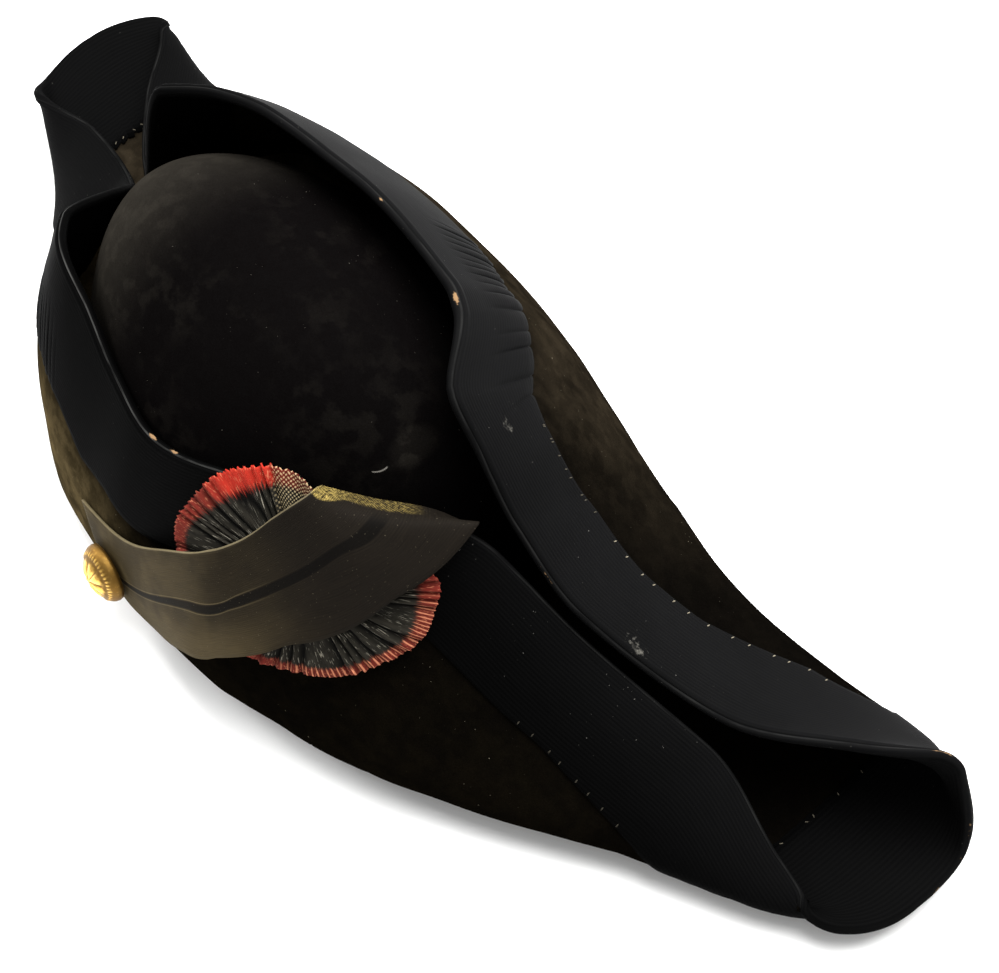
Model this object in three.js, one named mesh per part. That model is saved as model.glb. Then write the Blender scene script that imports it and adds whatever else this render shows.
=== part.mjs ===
// A fore-and-aft bicorne of black felt.
// The brim is turned up into two flaps that lean in over the crown, meet before and behind it,
// and run out into two flattened horns. A wide ribbon is folded over the whole rim. The right
// flap carries a pleated cockade under a strap that goes over the rim, with a domed button.
import * as THREE from 'three';

// Driving dimensions, in millimetres. +X is the front horn, +Y the wearer's left, +Z up.
const FELT = 2.2;
const CLEARANCE = 0.35;
const RIBBON = { width: 35, thickness: 1, rows: 3, widestShare: 0.75 };

// The crown's ends are boxier than its sides, so each has its own superellipse power. Its rings
// crowd towards the top by a power of their own.
const CROWN = { length: 188, width: 146, height: 125, x: -4, endPower: 3, sidePower: 2, ringPower: 0.8 };
const CROWN_RINGS = 9;
const CROWN_SECTORS = 40;

// The brim rests on a flat oval foot round the head opening, and each horn ends in a rounded edge.
const FOOT = { side: 8, end: 22, hornShare: 0.3 };
const BELLY_DIP = 0.06;
const BELLY_LIFT = 0.42;
const BACK_END = { bulge: 12, start: 51, rightPower: 2, leftPower: 2 };
const FRONT_END = { bulge: 15, start: 59, rightPower: 2.9, leftPower: 1.6 };
const LOWER_ROWS = 6;
const STEPS = { backHorn: 6, crown: 18, frontHorn: 11 };

// Cross sections of the brim, one row each. The spine is the middle of the section and the floor
// its lowest level. On each side the belly is the half width, and the rim is the edge of the flap,
// given by its distance from the spine and its height.
const SECTION_COLUMNS = [
  'x', 'spine', 'floor', 'rightBelly', 'rightRim', 'rightHeight', 'leftBelly', 'leftRim', 'leftHeight',
];
const SECTIONS = [
  [-201, 35, 24, 22.5, 29, 31, 24, 31, 23],
  [-189, 31, 20, 26, 25, 33, 31, 29, 27],
  [-161, 22, 12, 34.5, 13, 40, 38, 15, 36],
  [-126, 10, 3, 55.5, 5, 48, 63, 5, 45],
  [-108, 4, 0, 59.5, 3.5, 63, 68, 4, 57],
  [-90, 1, 0, 67, 31, 93.5, 74, 21, 118],
  [-72, 0.5, 0, 75, 41, 98.5, 76.5, 34, 120],
  [-50, 0, 0, 84, 46, 96, 81.5, 42, 121],
  [-26, 0, 0, 87, 53.5, 90.5, 85, 45, 121],
  [0, 0, 0, 90, 58.5, 88.5, 85.5, 46, 122],
  [47, 0, 0, 86.5, 45, 98, 80.5, 43, 121],
  [58, 0, 0, 83.5, 37, 98, 78.5, 39, 121],
  [80, 0, 0, 78, 21, 95, 73.5, 18, 121],
  [94, 2, 0, 76.5, 9, 86, 68.5, 13, 107],
  [109, 5, 0, 74.5, 4, 73, 63.5, 8, 81],
  [139, 9, 3, 62.5, 3.5, 53, 55.5, 3.5, 60],
  [189, 21, 6, 45, 6, 33, 46.5, 5, 42],
  [226, 32, 8, 34, 22.5, 19, 39, 17, 45],
  [249, 40, 10, 25, 33, 12, 22, 27, 47],
];

// The cockade is an oval bent round the flap, with pleats that open towards its edge. Under the
// strap's fold its edge is pressed in, by a share of its reach about one direction.
const COCKADE = { x: 70, drop: 27, lift: 5.7, along: 48, upward: 36, bend: 130, pleats: 36, thickness: 1 };
const PRESSED = { share: 0.32, direction: 52, spread: 54 };
const COCKADE_RINGS = [
  { radius: 0.12, rise: 0.6, fold: 0 },
  { radius: 0.4, rise: 0.3, fold: 0.3 },
  { radius: 0.7, rise: 0, fold: 0.6 },
  { radius: 1, rise: 0, fold: 0.75 },
];

// The strap lies on the right flap, a row for each place along it. The two edges are given by
// station and drop below the rim, and lift is the height of the strap's underside.
const STRAP = { thickness: 1.2, columns: 5, stepsPerRow: 2 };
const STRAP_ROWS = [
  { upper: [-27, 58], lower: [4, 79], lift: 1.8 },
  { upper: [-1, 45], lower: [23, 82], lift: 2.1 },
  { upper: [25, 33], lower: [46, 72], lift: 7.7 },
  { upper: [43, 25], lower: [64, 62], lift: 11.3 },
  { upper: [51, 16], lower: [76, 54], lift: 11.5 },
  { upper: [58, 5], lower: [88, 40], lift: 11.4 },
  { upper: [61, -1], lower: [94.5, 23], lift: 11.3 },
  { upper: [63, -5], lower: [98, 8], lift: 9.9 },
  { upper: [64, -7], lower: [99, -8], lift: 7 },
];

// The button's dome stands on a thin edge, with petals in relief over the middle share of it.
const BUTTON = { x: -4, drop: 67, lift: 3.4, radius: 11, dome: 7.5, edge: 1.2 };
const PETALS = { count: 8, relief: 0.5, share: 0.83 };
const BUTTON_RINGS = 7;
const BUTTON_SECTORS = 32;

const COLORS = {
  crown: { color: '#2b2320', roughness: 0.95, metalness: 0 },
  brim: { color: '#29241c', roughness: 0.95, metalness: 0 },
  rim_ribbon: { color: '#15161a', roughness: 0.6, metalness: 0 },
  cockade: { color: '#7c2f2b', roughness: 0.8, metalness: 0 },
  loop_strap: { color: '#3d3528', roughness: 0.7, metalness: 0 },
  button: { color: '#c9a24a', roughness: 0.35, metalness: 1 },
};

const RIGHT = -1;
const LEFT = 1;
const HALF_FELT = FELT / 2;
const HEAD_LENGTH = CROWN.length / 2;
const HEAD_WIDTH = CROWN.width / 2;
const BACK_X = SECTIONS[0][0];
const FRONT_X = SECTIONS[SECTIONS.length - 1][0];

// A smooth curve through one column of the section table, with no overshoot between rows.
function columnCurve(column) {
  const index = SECTION_COLUMNS.indexOf(column);
  const xs = SECTIONS.map((row) => row[0]);
  const ys = SECTIONS.map((row) => row[index]);
  const last = xs.length - 1;
  const secant = xs.slice(1).map((x, k) => (ys[k + 1] - ys[k]) / (x - xs[k]));
  const slope = xs.map((x, k) => {
    if (k === 0) return secant[0];
    if (k === last) return secant[last - 1];
    if (secant[k - 1] * secant[k] <= 0) return 0;
    return (2 * secant[k - 1] * secant[k]) / (secant[k - 1] + secant[k]);
  });
  return (x) => {
    let k = 0;
    while (k < last - 1 && x > xs[k + 1]) k += 1;
    const width = xs[k + 1] - xs[k];
    const t = (x - xs[k]) / width;
    const a = (1 + 2 * t) * (1 - t) * (1 - t);
    const b = t * (1 - t) * (1 - t);
    const c = t * t * (3 - 2 * t);
    const d = t * t * (t - 1);
    return a * ys[k] + b * width * slope[k] + c * ys[k + 1] + d * width * slope[k + 1];
  };
}

const brim = Object.fromEntries(SECTION_COLUMNS.map((column) => [column, columnCurve(column)]));

// Half the width of an oval about the head opening at a station, nothing beyond its two ends.
function ovalHalfWidth(x, halfLength, halfWidth) {
  const along = (x - CROWN.x) / halfLength;
  return halfWidth * Math.sqrt(Math.max(0, 1 - along * along));
}

// Half the width of the head opening at a station.
function headHalfWidth(x) {
  return ovalHalfWidth(x, HEAD_LENGTH, HEAD_WIDTH);
}

// Half the width of the flat foot at a station, which on the horns is a narrow strip.
function footHalfWidth(x, belly) {
  const strip = Math.min(FOOT.side, FOOT.hornShare * belly);
  return Math.max(strip, ovalHalfWidth(x, HEAD_LENGTH + FOOT.end, HEAD_WIDTH + FOOT.side));
}

// How far the rounded end of a horn stands out past its corners, at a station and a share of the
// way from the spine to the rim. A higher power keeps the end fuller near its corner.
function endBulge(x, side, share) {
  const back = THREE.MathUtils.clamp((BACK_X + BACK_END.start - x) / BACK_END.start, 0, 1);
  const front = THREE.MathUtils.clamp((x - FRONT_X + FRONT_END.start) / FRONT_END.start, 0, 1);
  const end = x > CROWN.x ? FRONT_END : BACK_END;
  const power = side === RIGHT ? end.rightPower : end.leftPower;
  return (FRONT_END.bulge * front - BACK_END.bulge * back) * (1 - share ** power);
}

// The middle of the felt at one station and side: a cubic curve from the foot beside the head
// opening, round the belly, to the rim. Half way along, such a curve is an eighth of its first and
// last points with six eighths of the two between, which gives those two the belly's width. It is
// flattened where it would go below the surface.
function sectionCurve(x, side) {
  const name = side === RIGHT ? 'right' : 'left';
  const belly = brim[`${name}Belly`](x);
  const rim = brim[`${name}Rim`](x);
  const top = brim[`${name}Height`](x) + HALF_FELT;
  const base = brim.floor(x) + HALF_FELT;
  const foot = footHalfWidth(x, belly);
  const wide = (8 * belly - foot - rim) / 6;
  const curve = new THREE.CubicBezierCurve(
    new THREE.Vector2(foot, base),
    new THREE.Vector2(wide, base - BELLY_DIP * (top - base)),
    new THREE.Vector2(wide, base + BELLY_LIFT * (top - base)),
    new THREE.Vector2(rim, top),
  );
  return (t) => {
    const point = curve.getPoint(t);
    return new THREE.Vector3(x, brim.spine(x) + side * point.x, Math.max(point.y, HALF_FELT));
  };
}

// Points along a section, from the rim inwards to the head opening, with the length walked to
// each. The end of a horn then bulges out, most at its middle.
const SAMPLES = 80;
function walkFromRim(x, side) {
  const curve = sectionCurve(x, side);
  const points = Array.from({ length: SAMPLES + 1 }, (_, k) => curve(1 - k / SAMPLES));
  const inner = brim.spine(x) + side * headHalfWidth(x);
  points.push(new THREE.Vector3(x, inner, points[SAMPLES].z));
  const walked = [0];
  for (let k = 1; k < points.length; k += 1) {
    walked.push(walked[k - 1] + points[k].distanceTo(points[k - 1]));
  }
  const total = walked[walked.length - 1];
  points.forEach((point, k) => {
    point.x += endBulge(x, side, 1 - walked[k] / total);
  });
  return { points, walked, total };
}

// The point a given length below the rim. Past the rim the flap's own slope goes on.
function pointBelowRim({ points, walked }, drop) {
  let k = 1;
  while (k < walked.length - 1 && walked[k] < drop) k += 1;
  const share = (drop - walked[k - 1]) / (walked[k] - walked[k - 1]);
  return points[k - 1].clone().lerp(points[k], share);
}

// A seat on the outside of the right flap: a point raised from the felt's middle, with its normal.
function flapSeat(x, drop, lift) {
  const reach = 1;
  const at = (u, v) => pointBelowRim(walkFromRim(u, RIGHT), v);
  const point = at(x, drop);
  const forward = at(x + reach, drop).sub(at(x - reach, drop));
  const down = at(x, drop + reach).sub(at(x, drop - reach));
  const normal = down.cross(forward).normalize();
  return { point: point.addScaledVector(normal, lift), normal };
}

// Stations along the hat: the ribbon's steps at both ends, even steps on the horns, and steps
// that follow the oval of the head opening.
function brimStations() {
  const step = RIBBON.width / RIBBON.rows;
  const spread = (from, to, count) => {
    const stride = (to - from) / count;
    return Array.from({ length: count }, (_, k) => from + k * stride);
  };
  const backInner = BACK_X + RIBBON.width;
  const frontInner = FRONT_X - RIBBON.width;
  const headBack = CROWN.x - HEAD_LENGTH;
  const headFront = CROWN.x + HEAD_LENGTH;
  const oval = spread(Math.PI, 0, STEPS.crown).map((angle) => CROWN.x + HEAD_LENGTH * Math.cos(angle));
  return [
    ...spread(BACK_X, backInner, RIBBON.rows),
    ...spread(backInner, headBack, STEPS.backHorn),
    ...oval,
    ...spread(headFront, frontInner, STEPS.frontHorn),
    ...Array.from({ length: RIBBON.rows + 1 }, (_, k) => frontInner + k * step),
  ];
}

// One half of the brim as rows of points: the head opening, the foot's edge, the wall, the rim.
function halfBrim(stations, side) {
  return stations.map((x) => {
    const walk = walkFromRim(x, side);
    const footEdge = walk.walked[SAMPLES];
    const band = Math.min(RIBBON.width, RIBBON.widestShare * footEdge);
    const drops = [walk.total];
    for (let row = 0; row < LOWER_ROWS; row += 1) {
      drops.push(footEdge + ((band - footEdge) * row) / LOWER_ROWS);
    }
    for (let row = RIBBON.rows; row >= 0; row -= 1) {
      drops.push((band * row) / RIBBON.rows);
    }
    return drops.map((drop) => pointBelowRim(walk, drop));
  });
}

// The felt's middle surface as shared vertices and triangles that face outwards. Each triangle
// also says whether the ribbon covers it: the outer rows all round, mitred at the corners.
function brimSurface() {
  const stations = brimStations();
  const lastStation = stations.length - 1;
  const lastRow = 1 + LOWER_ROWS + RIBBON.rows;
  const vertices = [];
  const found = new Map();
  const share = (point) => {
    const key = point.toArray().map((value) => Math.round(value * 1000)).join(',');
    if (!found.has(key)) {
      found.set(key, vertices.length);
      vertices.push(point);
    }
    return found.get(key);
  };
  const triangles = [];
  for (const side of [RIGHT, LEFT]) {
    const ids = halfBrim(stations, side).map((row) => row.map(share));
    for (let i = 0; i < lastStation; i += 1) {
      for (let j = 0; j < lastRow; j += 1) {
        const [a, b, c, d] = [ids[i][j], ids[i + 1][j], ids[i + 1][j + 1], ids[i][j + 1]];
        const ribbon = Math.min(lastRow - 1 - j, i, lastStation - 1 - i) < RIBBON.rows;
        const apart = (from, to) => vertices[from].distanceTo(vertices[to]);
        const halves = apart(a, c) < apart(b, d) ? [[a, b, c], [a, c, d]] : [[a, b, d], [b, c, d]];
        for (const corner of halves) {
          if (side === LEFT) corner.reverse();
          if (new Set(corner).size === 3) triangles.push({ corner, ribbon });
        }
      }
    }
  }
  return { vertices, triangles };
}

// Unit normals at the vertices of a surface. Where the felt lies flat they stand straight down.
function surfaceNormals({ vertices, triangles }) {
  const normals = vertices.map(() => new THREE.Vector3());
  for (const { corner: [a, b, c] } of triangles) {
    const ab = vertices[b].clone().sub(vertices[a]);
    const ac = vertices[c].clone().sub(vertices[a]);
    const face = ab.cross(ac);
    [a, b, c].forEach((id) => normals[id].add(face));
  }
  return normals.map((normal, id) => {
    const flat = Math.abs(vertices[id].z - HALF_FELT) < 1e-6;
    return flat ? new THREE.Vector3(0, 0, -1) : normal.normalize();
  });
}

// Edges that only one triangle uses, in that triangle's direction.
function openEdges(triangles) {
  const edges = new Map();
  for (const { corner } of triangles) {
    corner.forEach((a, k) => {
      const b = corner[(k + 1) % 3];
      if (!edges.delete(`${b},${a}`)) edges.set(`${a},${b}`, [a, b]);
    });
  }
  return [...edges.values()];
}

// A mesh geometry from loose triangles, three points each.
function geometryOf(points) {
  return new THREE.BufferGeometry().setFromPoints(points);
}

// A wall between two levels of a surface, closed along its open edges.
function wallSolid(triangles, outer, inner) {
  const points = [];
  for (const { corner: [a, b, c] } of triangles) {
    points.push(outer(a), outer(b), outer(c), inner(c), inner(b), inner(a));
  }
  for (const [a, b] of openEdges(triangles)) {
    points.push(outer(b), outer(a), inner(a), outer(b), inner(a), inner(b));
  }
  return geometryOf(points);
}

// The ribbon: a layer on each face of the felt, joined round the rim, which stands clear of the foot.
function ribbonSolid({ vertices, triangles }, normals) {
  const covered = triangles.filter((triangle) => triangle.ribbon);
  const raised = (id) => vertices[id].z > FELT;
  const rimEdges = openEdges(triangles).filter((edge) => edge.every(raised));
  const isRim = new Set(rimEdges.map((edge) => edge.join(',')));
  const outward = vertices.map(() => new THREE.Vector3());
  for (const [a, b] of rimEdges) {
    const along = vertices[b].clone().sub(vertices[a]);
    [a, b].forEach((id) => outward[id].add(along.clone().cross(normals[id]).normalize()));
  }
  outward.forEach((direction) => direction.normalize());
  const near = HALF_FELT + CLEARANCE;
  const far = near + RIBBON.thickness;
  const level = (height, push) => (id) => vertices[id].clone()
    .addScaledVector(normals[id], height)
    .addScaledVector(outward[id], push);
  const push = CLEARANCE + RIBBON.thickness;
  const [outTop, outFelt] = [level(far, push), level(near, CLEARANCE)];
  const [inTop, inFelt] = [level(-far, push), level(-near, CLEARANCE)];
  const points = [];
  const quad = (a, b, c, d) => points.push(a, b, c, a, c, d);
  for (const { corner: [a, b, c] } of covered) {
    points.push(outTop(a), outTop(b), outTop(c), outFelt(c), outFelt(b), outFelt(a));
    points.push(inFelt(a), inFelt(b), inFelt(c), inTop(c), inTop(b), inTop(a));
  }
  for (const [a, b] of openEdges(covered)) {
    if (isRim.has(`${a},${b}`)) {
      quad(outTop(b), outTop(a), inTop(a), inTop(b));
      quad(outFelt(b), inFelt(b), inFelt(a), outFelt(a));
    } else {
      quad(outTop(b), outTop(a), outFelt(a), outFelt(b));
      quad(inFelt(b), inFelt(a), inTop(a), inTop(b));
    }
  }
  return geometryOf(points);
}

// The crown: rings that shrink to the top, each an oval, as a felt wall open below.
function crownSolid() {
  const base = FELT + CLEARANCE;
  const vertices = [];
  const triangles = [];
  const id = (ring, sector) => ring * CROWN_SECTORS + (sector % CROWN_SECTORS);
  for (let ring = 0; ring < CROWN_RINGS; ring += 1) {
    const rise = Math.sin((Math.PI / 2) * (ring / CROWN_RINGS)) ** CROWN.ringPower;
    const halfLength = (HEAD_LENGTH + HALF_FELT) * (1 - rise ** CROWN.endPower) ** (1 / CROWN.endPower);
    const halfWidth = (HEAD_WIDTH + HALF_FELT) * (1 - rise ** CROWN.sidePower) ** (1 / CROWN.sidePower);
    const z = base + (CROWN.height - HALF_FELT - base) * rise;
    for (let sector = 0; sector < CROWN_SECTORS; sector += 1) {
      const angle = (2 * Math.PI * sector) / CROWN_SECTORS;
      const [x, y] = [CROWN.x + halfLength * Math.cos(angle), halfWidth * Math.sin(angle)];
      vertices.push(new THREE.Vector3(x, y, z));
    }
  }
  const top = vertices.length;
  vertices.push(new THREE.Vector3(CROWN.x, 0, CROWN.height - HALF_FELT));
  for (let sector = 0; sector < CROWN_SECTORS; sector += 1) {
    for (let ring = 0; ring < CROWN_RINGS - 1; ring += 1) {
      const [a, b] = [id(ring, sector), id(ring, sector + 1)];
      const [c, d] = [id(ring + 1, sector + 1), id(ring + 1, sector)];
      triangles.push({ corner: [a, b, c] }, { corner: [a, c, d] });
    }
    triangles.push({ corner: [id(CROWN_RINGS - 1, sector), id(CROWN_RINGS - 1, sector + 1), top] });
  }
  const normals = surfaceNormals({ vertices, triangles });
  for (let sector = 0; sector < CROWN_SECTORS; sector += 1) {
    normals[sector].setZ(0).normalize();
  }
  const level = (height) => (k) => vertices[k].clone().addScaledVector(normals[k], height);
  return wallSolid(triangles, level(HALF_FELT), level(-HALF_FELT));
}

// A closed solid between two grids of points, whose columns run round and whose first ring
// is closed to a point.
function discSolid(outer, inner, outerMiddle, innerMiddle) {
  const sectors = outer[0].length;
  const points = [];
  const quad = (a, b, c, d) => points.push(a, b, c, a, c, d);
  for (let s = 0; s < sectors; s += 1) {
    const n = (s + 1) % sectors;
    points.push(outerMiddle, outer[0][s], outer[0][n], innerMiddle, inner[0][n], inner[0][s]);
    for (let r = 0; r < outer.length - 1; r += 1) {
      quad(outer[r][s], outer[r + 1][s], outer[r + 1][n], outer[r][n]);
      quad(inner[r][n], inner[r + 1][n], inner[r + 1][s], inner[r][s]);
    }
    const last = outer.length - 1;
    quad(outer[last][s], inner[last][s], inner[last][n], outer[last][n]);
  }
  return geometryOf(points);
}

// The axes of a flat piece seated on the flap: level along it, up the slope, and out.
function seatAxes(normal) {
  const along = new THREE.Vector3(0, 0, 1).cross(normal).normalize();
  const upward = normal.clone().cross(along);
  return { along, upward };
}

// The share of the cockade's reach that is left in a direction, in degrees.
function pressedEdge(degrees) {
  const off = THREE.MathUtils.clamp((degrees - PRESSED.direction) / PRESSED.spread, -1, 1);
  return 1 - PRESSED.share * Math.cos((off * Math.PI) / 2) ** 2;
}

// The cockade: pleats of ribbon round a middle, bent round an upright axis to follow the flap.
function cockadeSolid() {
  const { point, normal } = flapSeat(COCKADE.x, COCKADE.drop, COCKADE.lift);
  const { along, upward } = seatAxes(normal);
  const place = (a, b, height) => {
    const turn = a / COCKADE.bend;
    const reach = COCKADE.bend + height;
    return point.clone()
      .addScaledVector(along, reach * Math.sin(turn))
      .addScaledVector(upward, b)
      .addScaledVector(normal, reach * Math.cos(turn) - COCKADE.bend);
  };
  const sectors = COCKADE.pleats * 2;
  const corner = ({ radius, rise, fold }, s, height) => {
    const angle = (2 * Math.PI * s) / sectors;
    const reach = radius * pressedEdge(THREE.MathUtils.radToDeg(angle));
    const [a, b] = [COCKADE.along * Math.cos(angle), COCKADE.upward * Math.sin(angle)];
    const pleat = s % 2 === 0 ? fold : -fold;
    return place(reach * a, reach * b, rise + pleat + height);
  };
  const side = (height) => COCKADE_RINGS.map(
    (ring) => Array.from({ length: sectors }, (_, s) => corner(ring, s, height)),
  );
  const half = COCKADE.thickness / 2;
  const middle = COCKADE_RINGS[0].rise;
  return discSolid(side(half), side(-half), place(0, 0, middle + half), place(0, 0, middle - half));
}

// The strap: a band between its two edges, smoothed along its length.
function strapSolid() {
  const curve = (edge) => new THREE.CatmullRomCurve3(
    STRAP_ROWS.map((row) => new THREE.Vector3(row[edge][0], row[edge][1], row.lift)),
  );
  const [upper, lower] = [curve('upper'), curve('lower')];
  const steps = (STRAP_ROWS.length - 1) * STRAP.stepsPerRow;
  const across = STRAP.columns - 1;
  const grid = (raise) => Array.from({ length: steps + 1 }, (_, k) => {
    const [from, to] = [upper.getPoint(k / steps), lower.getPoint(k / steps)];
    return Array.from({ length: STRAP.columns }, (__, c) => {
      const at = from.clone().lerp(to, c / across);
      return flapSeat(at.x, at.y, at.z + raise).point;
    });
  });
  const [outer, inner] = [grid(STRAP.thickness), grid(0)];
  const points = [];
  const quad = (a, b, c, d) => points.push(a, b, c, a, c, d);
  for (let k = 0; k < steps; k += 1) {
    for (let c = 0; c < across; c += 1) {
      quad(outer[k][c], outer[k][c + 1], outer[k + 1][c + 1], outer[k + 1][c]);
      quad(inner[k][c], inner[k + 1][c], inner[k + 1][c + 1], inner[k][c + 1]);
    }
    quad(outer[k][0], outer[k + 1][0], inner[k + 1][0], inner[k][0]);
    quad(outer[k + 1][across], outer[k][across], inner[k][across], inner[k + 1][across]);
  }
  for (let c = 0; c < across; c += 1) {
    quad(outer[0][c + 1], outer[0][c], inner[0][c], inner[0][c + 1]);
    quad(outer[steps][c], outer[steps][c + 1], inner[steps][c + 1], inner[steps][c]);
  }
  return geometryOf(points);
}

// The button: a dome on a thin edge, with a ring of raised petals.
function buttonSolid() {
  const { point, normal } = flapSeat(BUTTON.x, BUTTON.drop, BUTTON.lift);
  const { along, upward } = seatAxes(normal);
  const place = (radius, angle, height) => point.clone()
    .addScaledVector(along, radius * Math.cos(angle))
    .addScaledVector(upward, radius * Math.sin(angle))
    .addScaledVector(normal, height);
  const front = [];
  for (let ring = 1; ring <= BUTTON_RINGS; ring += 1) {
    const share = ring / BUTTON_RINGS;
    const ridge = Math.max(0, Math.sin((Math.PI * share) / PETALS.share));
    front.push(Array.from({ length: BUTTON_SECTORS }, (_, s) => {
      const angle = (2 * Math.PI * s) / BUTTON_SECTORS;
      const petal = PETALS.relief * ridge * (0.5 + 0.5 * Math.cos(PETALS.count * angle));
      const dome = BUTTON.edge + (BUTTON.dome - BUTTON.edge) * Math.sqrt(1 - share * share);
      return place(BUTTON.radius * share, angle, dome + petal);
    }));
  }
  const back = front.map((ring, k) => ring.map((_, s) => {
    const angle = (2 * Math.PI * s) / BUTTON_SECTORS;
    return place((BUTTON.radius * (k + 1)) / BUTTON_RINGS, angle, 0);
  }));
  return discSolid(front, back, place(0, 0, BUTTON.dome), place(0, 0, 0));
}

// The hat, with its origin under the middle of its box, on the surface that it rests on.
const surface = brimSurface();
const normals = surfaceNormals(surface);
const feltLevel = (height) => (id) => surface.vertices[id].clone().addScaledVector(normals[id], height);

const geometries = {
  crown: crownSolid(),
  brim: wallSolid(surface.triangles, feltLevel(HALF_FELT), feltLevel(-HALF_FELT)),
  rim_ribbon: ribbonSolid(surface, normals),
  cockade: cockadeSolid(),
  loop_strap: strapSolid(),
  button: buttonSolid(),
};

const hat = new THREE.Group();
for (const [name, geometry] of Object.entries(geometries)) {
  geometry.computeVertexNormals();
  const mesh = new THREE.Mesh(geometry, new THREE.MeshStandardMaterial(COLORS[name]));
  mesh.name = name;
  hat.add(mesh);
}
const middle = new THREE.Box3().setFromObject(hat).getCenter(new THREE.Vector3());
hat.position.set(-middle.x, -middle.y, 0);

export default hat;
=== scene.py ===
# %% [markdown]
# # A worn felt bicorne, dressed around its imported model
# The hat is a fore-and-aft bicorne: a felt brim turned up into two flaps that meet in a horn in
# front and a horn behind, a ribbon folded over the rim, and a cockade, a strap and a gilt button
# on one flap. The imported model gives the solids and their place. This script loads them as a
# fixed frame and lays finer surfaces where they are, so nothing here has to be fitted by eye.

import bmesh
import bpy
import numpy as np
from mathutils import Matrix, Vector


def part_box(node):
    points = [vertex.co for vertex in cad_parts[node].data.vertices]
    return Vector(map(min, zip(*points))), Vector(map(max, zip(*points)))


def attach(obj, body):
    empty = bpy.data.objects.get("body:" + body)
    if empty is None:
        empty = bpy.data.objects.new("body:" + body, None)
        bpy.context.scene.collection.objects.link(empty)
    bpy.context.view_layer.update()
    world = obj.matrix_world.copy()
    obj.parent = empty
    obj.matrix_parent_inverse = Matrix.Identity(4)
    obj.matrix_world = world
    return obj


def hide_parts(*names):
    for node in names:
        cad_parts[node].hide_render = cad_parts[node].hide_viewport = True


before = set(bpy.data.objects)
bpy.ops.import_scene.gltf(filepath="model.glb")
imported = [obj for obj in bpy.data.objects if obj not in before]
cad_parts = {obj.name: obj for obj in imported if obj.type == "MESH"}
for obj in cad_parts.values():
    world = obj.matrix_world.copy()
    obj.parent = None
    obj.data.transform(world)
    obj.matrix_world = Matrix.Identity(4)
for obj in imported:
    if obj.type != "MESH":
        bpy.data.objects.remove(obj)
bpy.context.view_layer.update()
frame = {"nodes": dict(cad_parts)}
print("solids:", ", ".join(frame["nodes"]))

# %% [markdown]
# ## The hat's own axes
# A hatter measures from the middle of the head opening, in millimetres. The pieces below are
# worked out that way: x runs to the front horn, y to the wearer's left, z up from the table.
# One function moves finished points into the frame, which has metres and another origin, and the
# crown's box says how far apart the two origins are.

# %% From the hatter's axes to the frame
MM = 0.001
FELT = 2.2
HALF_FELT = FELT / 2
CROWN = {"length": 188, "width": 146, "height": 125, "x": -4, "end_power": 3, "side_power": 2}
RIGHT, LEFT = -1, 1

crown_low, crown_high = (np.array(corner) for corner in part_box("crown"))
crown_middle = (crown_low + crown_high) / 2
ORIGIN = np.array([crown_middle[0] - CROWN["x"] * MM, crown_middle[1], 0])


def in_frame(points):
    """Millimetres on the hatter's axes, scaled to metres and moved to the frame's origin."""
    return np.asarray(points) * MM + ORIGIN


print("hatter's origin in the frame:", ORIGIN.round(5))

# %% [markdown]
# ## The brim as a table of sections
# A brim is blocked as one felt, and its shape changes slowly from horn to horn. So it is enough to
# measure it at a few stations: where the fold's spine is, how high the fold lies, and for each flap
# its fullest width, the place of its rim and the rim's height. A smooth curve through each column
# gives every station between.

# %% Stations along the hat
SECTION_COLUMNS = ("x", "spine", "floor", "right_belly", "right_rim", "right_height",
                   "left_belly", "left_rim", "left_height")
SECTIONS = np.array([
    (-201, 35, 24, 22.5, 29, 31, 24, 31, 23),
    (-189, 31, 20, 26, 25, 33, 31, 29, 27),
    (-161, 22, 12, 34.5, 13, 40, 38, 15, 36),
    (-126, 10, 3, 55.5, 5, 48, 63, 5, 45),
    (-108, 4, 0, 59.5, 3.5, 63, 68, 4, 57),
    (-90, 1, 0, 67, 31, 93.5, 74, 21, 118),
    (-72, 0.5, 0, 75, 41, 98.5, 76.5, 34, 120),
    (-50, 0, 0, 84, 46, 96, 81.5, 42, 121),
    (-26, 0, 0, 87, 53.5, 90.5, 85, 45, 121),
    (0, 0, 0, 90, 58.5, 88.5, 85.5, 46, 122),
    (47, 0, 0, 86.5, 45, 98, 80.5, 43, 121),
    (58, 0, 0, 83.5, 37, 98, 78.5, 39, 121),
    (80, 0, 0, 78, 21, 95, 73.5, 18, 121),
    (94, 2, 0, 76.5, 9, 86, 68.5, 13, 107),
    (109, 5, 0, 74.5, 4, 73, 63.5, 8, 81),
    (139, 9, 3, 62.5, 3.5, 53, 55.5, 3.5, 60),
    (189, 21, 6, 45, 6, 33, 46.5, 5, 42),
    (226, 32, 8, 34, 22.5, 19, 39, 17, 45),
    (249, 40, 10, 25, 33, 12, 22, 27, 47),
])
BACK_X, FRONT_X = SECTIONS[0, 0], SECTIONS[-1, 0]


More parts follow.
